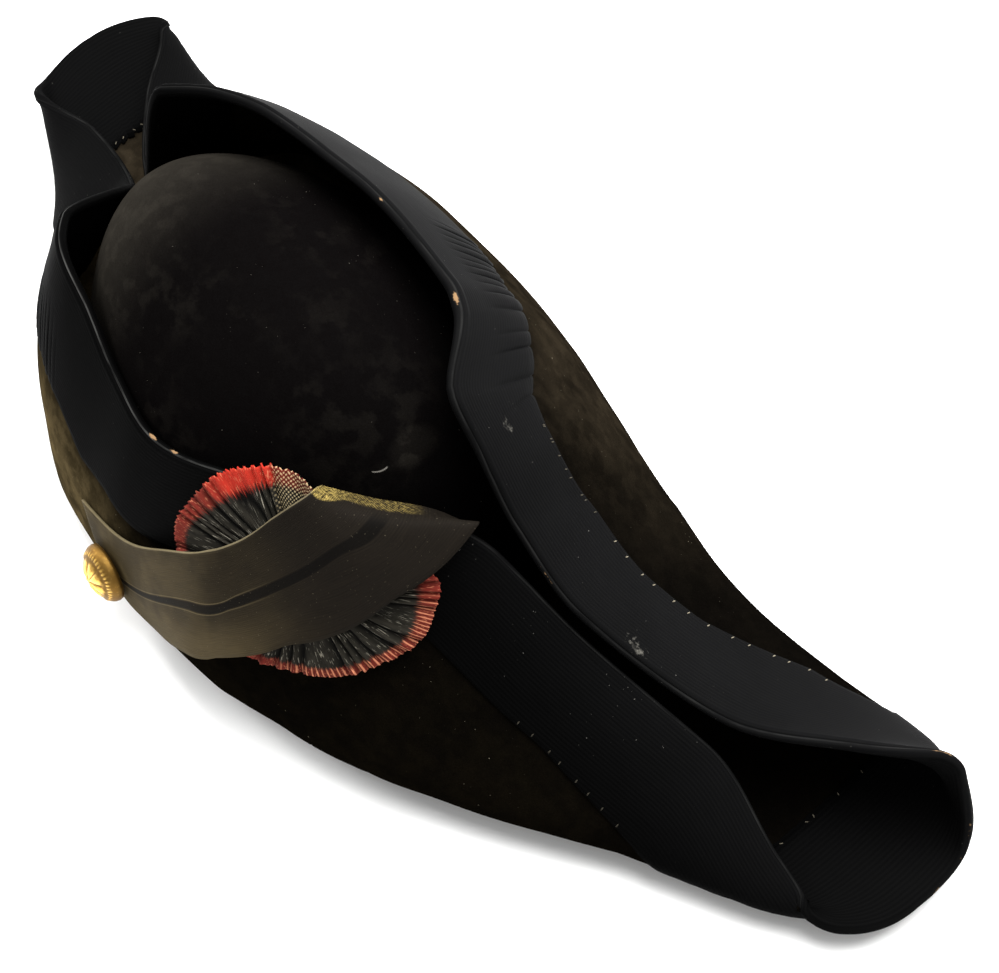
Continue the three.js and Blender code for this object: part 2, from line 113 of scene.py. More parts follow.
def measure(name, x):
    """A cubic through one column, its slope at a station the harmonic mean of the slopes beside it."""
    stations = SECTIONS[:, 0]
    values = SECTIONS[:, SECTION_COLUMNS.index(name)]
    gap = np.diff(stations)
    secant = np.diff(values) / gap
    product = secant[:-1] * secant[1:]
    total = np.where(product > 0, secant[:-1] + secant[1:], 1)
    slope = np.concatenate([secant[:1], np.where(product > 0, 2 * product / total, 0), secant[-1:]])
    k = np.clip(np.searchsorted(stations, x) - 1, 0, len(gap) - 1)
    t = (x - stations[k]) / gap[k]
    value = (1 + 2 * t) * (1 - t) ** 2 * values[k] + t * t * (3 - 2 * t) * values[k + 1]
    turn = t * (1 - t) ** 2 * slope[k] + t * t * (t - 1) * slope[k + 1]
    return value + gap[k] * turn


print("left rim over the crown:", measure("left_height", np.array([CROWN["x"]])).round(1), "mm")

# %% [markdown]
# ## A flap's section and the way down from its rim
# From the rim the felt swells out to its belly, turns in to a flat foot round the head opening and
# ends at that opening. One cubic curve draws the swell. Everything sewn on a flap is placed by its
# station and by the length of felt between it and the rim, because that is how trimming is marked.

# %% Walk down a section
FOOT = {"side": 8, "end": 22, "horn_share": 0.3}
BELLY_DIP, BELLY_LIFT = 0.06, 0.42
BACK_END = {"bulge": 12, "start": 51, RIGHT: 2, LEFT: 2}
FRONT_END = {"bulge": 15, "start": 59, RIGHT: 2.9, LEFT: 1.6}
SECTION_STEPS = 90


def oval_half_width(x, half_length, half_width):
    """Half the width of an oval about the crown's middle, at station x."""
    along = (x - CROWN["x"]) / half_length
    return half_width * np.sqrt(np.maximum(0, 1 - along ** 2))


def section_walk(x, side):
    """Points from rim to head opening at each station, and the length of felt down to each.

    The swell is a Bezier curve from the foot to the rim whose two middle points share one width.
    The ends of the horns bulge past their station, most at the spine."""
    name = "right" if side == RIGHT else "left"
    x = x[:, None]
    spine, floor = measure("spine", x), measure("floor", x) + HALF_FELT
    belly, rim = measure(name + "_belly", x), measure(name + "_rim", x)
    rise = measure(name + "_height", x) + HALF_FELT - floor
    half_length, half_width = CROWN["length"] / 2, CROWN["width"] / 2
    strip = np.minimum(FOOT["side"], FOOT["horn_share"] * belly)
    foot = np.maximum(strip, oval_half_width(x, half_length + FOOT["end"], half_width + FOOT["side"]))
    wide = (8 * belly - foot - rim) / 6
    t = np.linspace(1, 0, SECTION_STEPS + 1)
    u = 1 - t
    width = u ** 3 * foot + 3 * u * t * wide + t ** 3 * rim
    height = floor + rise * (t ** 3 + 3 * u * t * (BELLY_LIFT * t - BELLY_DIP * u))
    height = np.maximum(height, HALF_FELT)
    width = np.concatenate([width, oval_half_width(x, half_length, half_width)], 1)
    height = np.concatenate([height, height[:, -1:]], 1)
    points = np.stack([x + 0 * width, spine + side * width, height], -1)
    steps = np.linalg.norm(np.diff(points, axis=1), axis=-1)
    walked = np.concatenate([0 * x, np.cumsum(steps, 1)], 1)
    back = np.clip((BACK_X + BACK_END["start"] - x) / BACK_END["start"], 0, 1)
    front = np.clip((x - FRONT_X + FRONT_END["start"]) / FRONT_END["start"], 0, 1)
    to_rim = 1 - walked / walked[:, -1:]
    points[..., 0] += FRONT_END["bulge"] * front * (1 - to_rim ** FRONT_END[side])
    points[..., 0] -= BACK_END["bulge"] * back * (1 - to_rim ** BACK_END[side])
    return points, walked


def flap_lengths(x, side):
    """The length of felt from the rim to the foot's edge, and on to the head opening."""
    walked = section_walk(np.asarray(x, float).ravel(), side)[1]
    shape = np.shape(x)
    return walked[:, -2].reshape(shape), walked[:, -1].reshape(shape)


print("felt from rim to opening at the crown:", flap_lengths([CROWN["x"]], LEFT)[1].round(1), "mm")

# %% [markdown]
# ## The felt's face
# Ribbon, strap and cockade all need the same three things from the felt: a point on it, and the
# ways out of it, down it and forward along it. The horns' corners are cut round. Old felt also waves
# a little. Rounding and waving it here lets everything sewn to the felt follow, and the wave fades
# out at the foot, which lies on the table.

# %% Points and directions on a flap
WAVE = {"height": 0.6, "along": 17, "down": 23, "flat_share": 0.35}
CORNERS = {"back": 4, LEFT: 5, RIGHT: 5}


def unit(vectors):
    """Vectors of length 1 in the same directions."""
    return vectors / np.linalg.norm(vectors, axis=-1, keepdims=True)


def down_section(walk, drop):
    """The point that lies drop below the rim, straight between the two nearest on its section."""
    points, walked = walk
    row = np.arange(len(drop))
    k = np.clip((walked < drop[:, None]).sum(1), 1, walked.shape[1] - 1)
    low, high = walked[row, k - 1], walked[row, k]
    share = ((drop - low) / (high - low))[:, None]
    return points[row, k - 1] * (1 - share) + points[row, k] * share


def corner_radius(x, side):
    """How round the nearest horn's corner is cut on a flap: the front ones differ."""
    return np.where(x < CROWN["x"], CORNERS["back"], CORNERS[side])


def rounded_corners(x, drop, side):
    """Moves points by a horn's corner so that the square there becomes a quarter of a disc.

    The shares of the way to the two edges, u and v, shrink by the roots of 1 - vv/2 and 1 - uu/2."""
    radius = corner_radius(x, side)
    from_end = np.minimum(x - BACK_X, FRONT_X - x)
    u, v = np.clip(1 - from_end / radius, 0, 1), np.clip(1 - drop / radius, 0, 1)
    inward = np.where(x < CROWN["x"], 1, -1)
    x = x + inward * radius * u * (1 - np.sqrt(1 - v * v / 2))
    return x, drop + radius * v * (1 - np.sqrt(1 - u * u / 2))


def felt_face(x, drop, side):
    """Middle of the felt at each station and drop, with unit ways out, down and forward there.

    Out is the cross product of down and forward, both taken over two millimetres."""
    x, drop = np.broadcast_arrays(np.asarray(x, float), np.asarray(drop, float))
    shape = x.shape + (3,)
    x, drop = rounded_corners(x.ravel(), drop.ravel(), side)
    walk = section_walk(x, side)
    point = down_section(walk, drop)
    down = unit(down_section(walk, drop + 1) - down_section(walk, drop - 1))
    ahead, behind = section_walk(x + 1, side), section_walk(x - 1, side)
    forward = unit(down_section(ahead, drop) - down_section(behind, drop))
    out = unit(-side * np.cross(down, forward))
    share = np.clip((1 - drop / walk[1][:, -1]) / WAVE["flat_share"], 0, 1)
    wave = np.sin(x / WAVE["along"] + side) * np.cos(drop / WAVE["down"] + x / 40)
    point = point + out * (WAVE["height"] * wave * share ** 2)[:, None]
    return [part.reshape(shape) for part in (point, out, down, forward)]


def rim_stations(side, start, end, spacing):
    """Stations an even length apart along a flap's rim, and the length along it to each."""
    x = np.linspace(start, end, 2000)
    rim = section_walk(x, side)[0][:, 0]
    along = np.concatenate([[0], np.cumsum(np.linalg.norm(np.diff(rim, axis=0), axis=1))])
    even = np.linspace(0, along[-1], int(along[-1] / spacing) + 1)
    return np.interp(even, along, x), even


for flap_name, flap_side in (("right", RIGHT), ("left", LEFT)):
    print(flap_name, "rim:", round(rim_stations(flap_side, BACK_X, FRONT_X, 1)[1][-1]), "mm long")

# %% [markdown]
# ## From grids of points to pieces
# Each surface below is a grid of points, and a piece is one or more such grids stitched together
# where their edges meet. Cloth and felt then get their thickness from a Solidify modifier, which
# keeps the sheet's own coordinates, so a weave painted along the ribbon stays on it.

# %% Make a piece
MERGE = 0.02 * MM


def grid_faces(rows, columns, closed):
    """Four corners of each cell of a grid, the last column joined to the first where it is closed."""
    row = np.arange(rows - 1)[:, None] * columns
    column = np.arange(columns if closed else columns - 1)
    following = (column + 1) % columns
    cells = (row + column, row + following, row + columns + following, row + columns + column)
    return np.stack(cells, -1).reshape(-1, 4)


def make_piece(name, grids, replaced=(), thickness=0, closed=False, even=True):
    """An object from grids of (points, weave); weave holds three numbers for the finish to read."""
    points = np.concatenate([np.reshape(points, (-1, 3)) for points, weave in grids])
    weave = np.concatenate([np.reshape(weave, (-1, 3)) for points, weave in grids])
    starts = np.cumsum([0] + [np.prod(points.shape[:-1]) for points, weave in grids])
    faces = []
    for start, (grid, grid_weave) in zip(starts, grids):
        cells = grid_faces(grid.shape[-3], grid.shape[-2], closed)
        each = grid.shape[-3] * grid.shape[-2]
        copies = int(np.prod(grid.shape[:-3]))
        faces.append((start + each * np.arange(copies)[:, None, None] + cells).reshape(-1, 4))
    mesh = bpy.data.meshes.new(name)
    mesh.from_pydata(in_frame(points), [], np.concatenate(faces).tolist())
    layer = mesh.attributes.new("weave", "FLOAT_VECTOR", "POINT")
    layer.data.foreach_set("vector", weave.astype(np.float32).ravel())
    tidy = bmesh.new()
    tidy.from_mesh(mesh)
    bmesh.ops.remove_doubles(tidy, verts=tidy.verts, dist=MERGE)
    bmesh.ops.dissolve_degenerate(tidy, edges=tidy.edges, dist=MERGE)
    bmesh.ops.recalc_face_normals(tidy, faces=tidy.faces)
    tidy.to_mesh(mesh)
    tidy.free()
    mesh.polygons.foreach_set("use_smooth", np.ones(len(mesh.polygons), bool))
    piece = bpy.data.objects.new(name, mesh)
    bpy.context.scene.collection.objects.link(piece)
    if thickness:
        wall = piece.modifiers.new("thickness", "SOLIDIFY")
        wall.thickness = thickness * MM
        wall.offset = 0
        wall.use_even_offset = even
    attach(piece, "root")
    if replaced:
        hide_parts(*replaced)
    print(name, "has", len(mesh.polygons), "faces")
    return piece


# %% [markdown]
# ## Writing finishes as sums
# A finish is easier to read as a sum than as a drawing of nodes. The first class wraps one output
# socket, and Python's operators on it add Math nodes. The second holds a material and adds any
# other node, its settings first and then the values or links of its sockets.

# %% The finish helpers
class Shade:
    """A number that changes over a surface, as one output socket of a finish."""

    def __init__(self, finish, socket):
        self.finish, self.socket = finish, socket

    def __add__(self, other):
        return self.finish.math("ADD", self, other)

    def __sub__(self, other):
        return self.finish.math("SUBTRACT", self, other)

    def __rsub__(self, other):
        return self.finish.math("SUBTRACT", other, self)

    def __mul__(self, other):
        return self.finish.math("MULTIPLY", self, other)

    def __truediv__(self, other):
        return self.finish.math("DIVIDE", self, other)

    def __pow__(self, other):
        return self.finish.math("POWER", self, other)

    __radd__ = __add__
    __rmul__ = __mul__


class Finish:
    """A material in the making, on one Principled shader."""

    def __init__(self, name, **constants):
        self.material = bpy.data.materials.new(name)
        self.material.use_nodes = True
        self.tree = self.material.node_tree
        self.shader = self.tree.nodes["Principled BSDF"]
        for socket, value in constants.items():
            self.feed(self.shader, socket.replace("_", " "), value)

    def feed(self, node, key, value):
        """Links a shade to a node's socket, or sets the socket's own value."""
        socket = next(s for s in node.inputs if key in (s.identifier, s.name))
        if isinstance(value, Shade):
            self.tree.links.new(value.socket, socket)
        else:
            socket.default_value = value

    def node(self, kind, settings=None, inputs=None, out=0):
        """Adds a node of this type: settings first, then its sockets; gives the output named."""
        node = self.tree.nodes.new("ShaderNode" + kind)
        for name, value in (settings or {}).items():
            setattr(node, name, value)
        for key, value in (inputs or {}).items():
            self.feed(node, key, value)
        if isinstance(out, str):
            return Shade(self, next(s for s in node.outputs if out in (s.identifier, s.name)))
        return Shade(self, node.outputs[out])

    def math(self, operation, *values):
        """A Math node on shades and numbers."""
        return self.node("Math", {"operation": operation}, dict(zip(("Value", "Value_001"), values)))

    def smooth(self, value, low, high):
        """Rises smoothly from 0 to 1 as value goes from low to high."""
        limits = {"Value": value, "From Min": low, "From Max": high}
        return self.node("MapRange", {"interpolation_type": "SMOOTHSTEP"}, limits)

    def mix(self, share, start, end):
        """A colour between two colours."""
        colours = {"Factor_Float": share, "A_Color": start, "B_Color": end}
        return self.node("Mix", {"data_type": "RGBA"}, colours, "Result_Color")

    def place(self):
        """The frame's own coordinates, in metres."""
        return self.node("TexCoord", out="Object")

    def parts(self, vector):
        """The three numbers of a vector, as separate shades."""
        return [self.node("SeparateXYZ", inputs={"Vector": vector}, out=k) for k in "XYZ"]

    def weave(self):
        """The piece's own three numbers at each point."""
        return self.parts(self.node("Attribute", {"attribute_name": "weave"}, out="Vector"))

    def stretched(self, *lengths):
        """A vector for a texture from three shades or numbers."""
        return self.node("CombineXYZ", inputs=dict(zip("XYZ", lengths)))

    def noise(self, size, where=None, detail=3.0, rough=0.55):
        """Cloudy noise whose lumps are about size across, in millimetres on the frame's axes."""
        if where is None:
            settings = {"Vector": self.place(), "Scale": 1 / (size * MM)}
        else:
            settings = {"Vector": where, "Scale": 1 / size}
        settings.update({"Detail": detail, "Roughness": rough})
        return self.node("TexNoise", inputs=settings)

    def bump(self, height, depth, strength=1.0):
        """Tilts the surface as if height, from 0 to 1, were depth millimetres deep."""
        bumps = {"Height": height, "Distance": depth * MM, "Strength": strength}
        normal = self.node("Bump", inputs=bumps, out="Normal")
        self.feed(self.shader, "Normal", normal)

    def colour(self, shade):
        self.feed(self.shader, "Base Color", shade)

    def roughness(self, shade):
        self.feed(self.shader, "Roughness", shade)

    def on(self, piece):
        """Gives the finish to a piece."""
        piece.data.materials.append(self.material)
        print(self.material.name, "uses", len(self.tree.nodes), "nodes")


def paint(red, green, blue):
    """A screen colour, each part from 0 to 255, as the linear light that a shader takes."""
    screen = np.array([red, green, blue]) / 255
    linear = np.where(screen <= 0.04045, screen / 12.92, ((screen + 0.055) / 1.055) ** 2.4)
    return (*linear.tolist(), 1.0)


# %% [markdown]
# ## Camera, table and light
# The camera looks down on the front horn from the wearer's right, rolled a little, with a long
# lens. A pale table and large soft lights stand in for a photographer's tent: the felt and the
# ribbon are nearly black, so their form shows only in broad soft reflections.

# %% Set the camera
IMAGE_WIDTH = 999
SENSOR = 36
VIEW = {"azimuth": 67.16, "elevation": 59.24, "roll": -18.39, "distance": 700, "focal_pixels": 2459.56}
VIEW_TARGET = (136.28, -1.14, 159.75)


def direction(azimuth, elevation):
    """The way from the target to an eye at this azimuth and elevation, in degrees."""
    a, e = np.radians([azimuth, elevation])
    return np.array([np.sin(a) * np.cos(e), -np.cos(a) * np.cos(e), np.sin(e)])


toward_eye = direction(VIEW["azimuth"], VIEW["elevation"])
level = direction(VIEW["azimuth"] + 90, 0)
upright = np.cross(toward_eye, level)
roll = np.radians(VIEW["roll"])
axes = np.eye(4)
axes[:3, 0] = np.cos(roll) * level + np.sin(roll) * upright
axes[:3, 1] = np.cos(roll) * upright - np.sin(roll) * level
axes[:3, 2] = toward_eye
axes[:3, 3] = in_frame(np.array(VIEW_TARGET) + VIEW["distance"] * toward_eye)
camera = bpy.data.objects.new("camera", bpy.data.cameras.new("camera"))
camera.data.sensor_width = SENSOR
camera.data.lens = VIEW["focal_pixels"] * SENSOR / IMAGE_WIDTH
camera.data.clip_end = 20
camera.matrix_world = Matrix(axes.tolist())
bpy.context.scene.collection.objects.link(camera)
bpy.context.scene.camera = camera
print("lens:", round(camera.data.lens, 1), "mm")

# %% Lay the table and hang the lights
TABLE_HALF = 6.0
SKY = 0.65
LIGHTS = {
    "window": {"at": (-1.6, -0.4, 1.2), "size": 1.2, "power": 40},
    "overhead": {"at": (0.1, 0.8, 1.8), "size": 1.6, "power": 92},
    "back_fill": {"at": (0.5, 1.7, 0.8), "size": 1.2, "power": 20},
}

table_mesh = bpy.data.meshes.new("table")
corners = [(-1, -1), (1, -1), (1, 1), (-1, 1)]
table_mesh.from_pydata([(a * TABLE_HALF, b * TABLE_HALF, 0) for a, b in corners], [], [(0, 1, 2, 3)])
table = bpy.data.objects.new("table", table_mesh)
bpy.context.scene.collection.objects.link(table)
paper = Finish("white_paper", Roughness=0.9, Base_Color=paint(251, 251, 250), Specular_IOR_Level=0.1)
paper.on(table)

for name, light in LIGHTS.items():
    lamp = bpy.data.objects.new(name, bpy.data.lights.new(name, "AREA"))
    lamp.data.size = light["size"]
    lamp.data.energy = light["power"]
    lamp.location = light["at"]
    lamp.rotation_euler = (-Vector(light["at"])).to_track_quat("-Z", "Y").to_euler()
    bpy.context.scene.collection.objects.link(lamp)

sky = bpy.data.worlds.new("sky")
sky.use_nodes = True
sky.node_tree.nodes["Background"].inputs["Color"].default_value = (1, 1, 1, 1)
sky.node_tree.nodes["Background"].inputs["Strength"].default_value = SKY
bpy.context.scene.world = sky
bpy.context.scene.view_settings.view_transform = "Standard"
print("lights:", ", ".join(LIGHTS))

# %% [markdown]
# ## The crown
# The crown is a hollow dome of the same felt, pulled over a block while wet. A sphere squashed to
# an oval would be too pointed at the ends, so the dome's outline uses a higher power lengthwise
# than across. The felt is a single sheet, so the dome is one surface that gets the felt's thickness.

# %% Block the crown
CROWN_FOOT = 2.25
CROWN_RINGS, CROWN_SECTORS = 80, 180
DENT = 0.9


def crown_dome(rings, sectors):
    """Rings that rise as the sine of their share and close in as an oval of two powers."""
    rise = np.sin(np.pi / 2 * np.linspace(0, 1, rings))[:, None] ** 0.8
    turn = np.linspace(0, 2 * np.pi, sectors, endpoint=False)
    end, side = CROWN["end_power"], CROWN["side_power"]
    half_length = (CROWN["length"] / 2 + HALF_FELT) * (1 - rise ** end) ** (1 / end)
    half_width = (CROWN["width"] / 2 + HALF_FELT) * (1 - rise ** side) ** (1 / side)
    dent = DENT * np.sin(3 * turn + 4 * rise) * np.sin(np.pi * rise)
    x = CROWN["x"] + (half_length - dent) * np.cos(turn)
    y = (half_width - dent) * np.sin(turn)
    top = CROWN["height"] - HALF_FELT
    z = CROWN_FOOT + (top - CROWN_FOOT) * rise + 0 * turn - 0.4 * np.maximum(dent, 0)
    x = np.where(rise < 1, x, CROWN["x"])
    y = np.where(rise < 1, y, 0)
    points = np.stack([x, y, z], -1)
    return points, np.stack([x, y, z], -1)


crown = make_piece("crown_felt", [crown_dome(CROWN_RINGS, CROWN_SECTORS)],
                   ["crown"], FELT, closed=True)

# %% [markdown]
# ## The crown's felt
# Black felt that has been handled for years goes brown, unevenly: the dye fades in clouds, the nap
# rubs down to a greasy dark in places, and dust stays in it. Three sizes of noise give the clouds,
# the blotches and the nap. The nap is also a fine bump, because felt has no weave to show. In front
# there is one olive smear with a short loose thread beside it, drawn as the line near a parabola.
# The back of the dome is painted lighter towards the olive, as painted light from behind.

# %% Fade the crown and paint light on its back
def felt_nap(felt):
    """The short fibres of felt: fine lumps over a softer unevenness, as a height from 0 to 1."""
    return 0.6 * felt.noise(0.7, detail=2) + 0.4 * felt.noise(3.5, detail=3)


def dust(felt, share):
    """Sparse pale specks: the peaks of a fine noise, in a few clouds."""
    specks = felt.smooth(felt.noise(0.9, detail=1), 0.77, 0.82)
    return specks * felt.smooth(felt.noise(26, detail=2), 0.5, 0.62) * share


MATT = {"Roughness": 1.0, "Specular_IOR_Level": 0.0}
SMEAR = {"x": 46.8, "y": 7.6, "half_x": 4, "half_y": 10}
LOOSE = {"x": 46.4, "y": -2.6, "bend": 0.085, "long": 5.1, "half": 0.24}

crown_finish = Finish("crown_felt_finish", **MATT)
clouds = crown_finish.smooth(crown_finish.noise(42, detail=4), 0.42, 0.66)
blotches = crown_finish.smooth(crown_finish.noise(8, detail=4), 0.46, 0.62)
nap = felt_nap(crown_finish)
ahead, sideways, upwards = (part / MM for part in crown_finish.parts(crown_finish.place()))
# painted light: the back of the dome is painted lighter, towards the olive, standing for the light that
# falls on it from behind
behind = crown_finish.smooth(ahead, -45, -115)
dark = crown_finish.mix(nap, paint(4, 3, 3), paint(9, 8, 8))
olive = crown_finish.mix(nap, paint(27, 25, 22), paint(46, 43, 38))
smear_x, smear_y = (ahead - SMEAR["x"]) / SMEAR["half_x"], (sideways - SMEAR["y"]) / SMEAR["half_y"]
smear = crown_finish.smooth(smear_x * smear_x + smear_y * smear_y, 1.3, 0.1)
lighter_share = 0.12 * clouds * blotches + 0.4 * smear * (0.4 + 0.6 * blotches)
# the painted light from behind is added to the real fading, smear and blotches
lighter_share = lighter_share + behind * (0.85 + 0.2 * clouds + 0.2 * blotches)
felt_tone = crown_finish.mix(lighter_share, dark, olive)
past_end = sideways - LOOSE["y"]
off_thread = crown_finish.math("ABSOLUTE", ahead - LOOSE["x"] + LOOSE["bend"] * past_end * past_end)
thread = crown_finish.smooth(off_thread, LOOSE["half"], 0.05) * crown_finish.smooth(past_end, 0.2, -0.6)
thread = thread * crown_finish.smooth(past_end, -LOOSE["long"], 0.5 - LOOSE["long"])
felt_tone = crown_finish.mix(thread * 0.5, felt_tone, paint(150, 146, 138))
crown_finish.colour(crown_finish.mix(dust(crown_finish, 0.4), felt_tone, paint(150, 144, 132)))
crown_finish.bump(nap, 0.35, 0.5)
crown_finish.on(crown)

# %% [markdown]
# ## The turned-up brim
# The brim is one sheet as well: both flaps, the horns and the foot round the head opening. Each
# flap is a grid of stations by shares of the way down, and the two grids share their points along
# the spine of the horns, where merging joins them. Stations crowd at the ends of the opening,
# which is an oval and turns sharply there.

# %% Turn up the brim
BRIM_SPACING = 2.6
BRIM_ROWS = 56
OPENING_STEPS = 44
NARROWEST = 0.5


def brim_stations():
    """Stations even along the left rim, joined by ones even round the head opening."""
    even = rim_stations(LEFT, BACK_X, FRONT_X, BRIM_SPACING)[0]
    turn = np.linspace(0, np.pi, OPENING_STEPS)
    opening = CROWN["x"] + CROWN["length"] / 2 * np.cos(turn)
    x = np.sort(np.concatenate([even, opening]))
    return x[np.append(np.diff(x) > NARROWEST, True)]


def brim_flap(side):
    """A flap from its rim down to the spine or the head opening, in even shares of its felt."""
    x = brim_stations()[:, None]
    drop = flap_lengths(x, side)[1] * np.linspace(0, 1, BRIM_ROWS)
    point, out, down, forward = felt_face(x, drop, side)
    point[..., 2] = np.maximum(point[..., 2], HALF_FELT)
    return point, np.stack([x + 0 * drop, drop, 0 * drop], -1)


brim = make_piece("brim_felt", [brim_flap(RIGHT), brim_flap(LEFT)], ["brim"], FELT)

# %% [markdown]
# ## The brim's felt
# Light has faded the brim most where it swells out: round the left flap's belly and on the back
# half of the right flap. The front horn has stayed black. The sheet carries its station and its
# drop, so the fading can follow the flaps, and noise breaks it into clouds.

# %% Fade the brim
brim_finish = Finish("brim_felt_finish", **MATT)
station, drop, unused = brim_finish.weave()
sideways = brim_finish.parts(brim_finish.place())[1]
on_left = brim_finish.smooth(sideways, -0.01, 0.02)
left_fade = brim_finish.smooth(station, 160, 30) * brim_finish.smooth(drop, 20, 55)
right_fade = brim_finish.smooth(station, 40, -35) * brim_finish.smooth(drop, 25, 70)
right_fade = right_fade * brim_finish.smooth(station, -135, -40)
in_back_horn = brim_finish.smooth(station, -110, -150)
fade = 0.02 + 0.3 * in_back_horn + left_fade * on_left * 0.25 + right_fade * (1 - on_left)
clouds = brim_finish.smooth(brim_finish.noise(30, detail=4), 0.36, 0.64)
blotches = brim_finish.smooth(brim_finish.noise(6.5, detail=4), 0.42, 0.62)
nap = felt_nap(brim_finish)
dark = brim_finish.mix(nap, paint(1, 1, 1), paint(6, 5, 4))
tan = brim_finish.mix(on_left, paint(104, 90, 62), paint(80, 70, 55))
brown = brim_finish.mix(0.35 + 0.65 * nap, paint(30, 26, 18), tan)
felt_tone = brim_finish.mix(fade * (0.3 + 0.4 * clouds + 0.3 * blotches), dark, brown)
brim_finish.colour(brim_finish.mix(dust(brim_finish, 0.5), felt_tone, paint(150, 142, 122)))
brim_finish.bump(nap, 0.4, 0.5)
brim_finish.on(brim)

# %% [markdown]
# ## The ribbon round the rim
# A ribbed silk ribbon is folded over the rim and sewn down on both faces. Carrying its folded
# profile along each rim gives the two long strips. A shorter strip crosses each horn's end, and the
# strips meet in mitres at the corners. It was laid by hand, so its sewn edge wanders. Where it has
# to turn a sharp shoulder that edge is too long, and it is gathered there into rounded pads with
# creases between them.

# %% Fold the ribbon over the rim
RIBBON = {"width": 35, "widest_share": 0.75, "thickness": 0.8, "off_felt": 1.65, "bead": 0.4}
RIBBON_SPACING = 2.2
RIBBON_ROWS = {"outer": 28, "fold": 15, "inner": 10}
SEWN_EDGE = {
    LEFT: np.array([(-201, 35), (-40, 40), (13, 46), (26, 43), (40, 36), (63, 33), (75, 37), (89, 34),
                    (103, 31), (133, 29), (156, 29), (189, 38), (214, 35), (249, 35)]),
    RIGHT: np.array([(-201, 35), (-60, 38), (-31, 42), (-12, 36), (113, 34), (152, 33), (195, 39),
                     (214, 35), (249, 35)]),
}
CREASES = {
    LEFT: np.array([6, 11, 15.5, 20, 24, 28.5, 33, 37, 41.5, 46, 51, 58, 67.5, 73, 84, 92, 104]),
    RIGHT: rim_stations(RIGHT, -142, -62, 4.6)[0],
}
PAD = {LEFT: 1.35, RIGHT: 0.4, "scallop": 1.6}
PAD_STEPS = np.array([0, 0.07, 0.22, 0.5, 0.78, 0.93])
GROOVE = {"at": 50, "half": 16, "depth": 1.6}
SCALLOP = {"pitch": 3.7, "back": 1.1, "front": 0.2}
ROLLED = {"side": LEFT, "at": 56, "half": 12, "height": 1.3}
KNOCKS = [
    (LEFT, 7, 0, 1.6, 0.85), (LEFT, 55, 0, 3.2, 1.1), (LEFT, 247, 0, 5, 0.75), (RIGHT, 4, 0, 2.9, 1.15),
    (RIGHT, 16, 0, 2.4, 1.1), (LEFT, 123, 0, 5, 0.62), (LEFT, 156, 2, 4, -0.47), (LEFT, 94, 15, 2.4, -0.44),
]


def ramp(value, low, high):
    """Rises smoothly from 0 to 1 between low and high."""
    t = np.clip((value - low) / (high - low), 0, 1)
    return t * t * (3 - 2 * t)


def bell(value, middle, half):
    """1 at the middle, falling off to both sides as a bell curve."""
    return np.exp(-((value - middle) / half) ** 2)


def ribbon_profile():
    """Shares of the width and fold angles from the outer sewn edge over the rim to the inner one."""
    rows = RIBBON_ROWS
    outer = np.linspace(1, 0, rows["outer"], endpoint=False)
    inner = np.linspace(0, 1, rows["inner"] + 1)[1:]
    share = np.concatenate([outer, np.zeros(rows["fold"]), inner])
    turn = np.concatenate([0 * outer, np.linspace(0, np.pi, rows["fold"]), 0 * inner + np.pi])
    return share, turn


def ribbon_drop(x, share, turn, side):
    """How far down the flap each row lies: its share of the width, which on the outer face wanders.

    No row goes lower than the widest share of the felt between the rim and the foot."""
    outer = np.interp(x, *SEWN_EDGE[side].T)
    width = np.where(np.cos(turn) > 0, outer, RIBBON["width"])
    return share * np.minimum(width, RIBBON["widest_share"] * flap_lengths(x, side)[0])


def square_to(way, line):
    """The unit part of a direction that is square to a unit line."""
    return unit(way - (way * line).sum(-1, keepdims=True) * line)


def over_edge(face, ahead, end_share):
    """The way out over the felt's edge: up at the rim, ahead at a horn's end, both at a corner.

    The end's share is the sine of the angle that the edge has turned through."""
    point, out, down, forward = face
    end_share = end_share[..., None]
    rim_share = np.sqrt(1 - end_share ** 2)
    edge = unit(rim_share * ahead + end_share * down)
    return square_to(end_share * ahead - rim_share * down, edge)


def folded(face, edge_way, turn, lift):
    """Points round the felt's edge: out at the start, over the edge half way, inside at the end.

    A pressed groove runs along the fold near its outer side, beside a wider bead."""
    point, out, down, forward = face
    groove = GROOVE["depth"] * bell(np.degrees(turn), GROOVE["at"], GROOVE["half"])
    radius = (RIBBON["off_felt"] + RIBBON["bead"] * (np.sin(turn) - groove) + lift)[..., None]
    turn = turn[..., None]
    return point + radius * (np.cos(turn) * out + np.sin(turn) * edge_way)


def pads(station, side):
    """The height of half a round between each crease and the next, each pad a little different."""
    creases = CREASES[side]
    k = np.clip(np.searchsorted(creases, station, "right") - 1, 0, len(creases) - 2)
    p = (station - creases[k]) / (creases[k + 1] - creases[k])
    ends = ramp(station, creases[0], creases[0] + 12) - ramp(station, creases[-1] - 14, creases[-1])
    return np.sqrt(np.clip(4 * p * (1 - p), 0, 1)) * ends * (0.8 + 0.2 * np.sin(2.1 * k))


def knocks(station, drop, turn, side):
    """Wear: above 0 where the silk has gone from the fold, below 0 where its face is only scuffed."""
    on_fold = bell(np.degrees(turn), 78, 15)
    wear = 0 * station + 0 * turn
    for knocked, at, below, half, amount in KNOCKS:
        place = on_fold if amount > 0 else bell(drop, below, 2.5) * (np.cos(turn) > 0.9)
        wear = wear + amount * (knocked == side) * bell(station, at, half) * place
    return wear


def across_ribbon(drop, turn):
    """The way across the ribbon from the middle of its fold: above 0 on the outer face."""
    return drop * np.sign(np.cos(turn)) + RIBBON["off_felt"] * (np.pi / 2 - turn)


def strip_stations(side):
    """Even stations along a rim, but in the gathers a few for each pad, crowded at its creases."""
    even = rim_stations(side, BACK_X, FRONT_X, RIBBON_SPACING)[0]
    creases = CREASES[side]
    in_pads = (creases[:-1, None] + np.diff(creases)[:, None] * PAD_STEPS).ravel()
    return np.concatenate([even[even < creases[0]], in_pads, even[even > creases[-1]]])


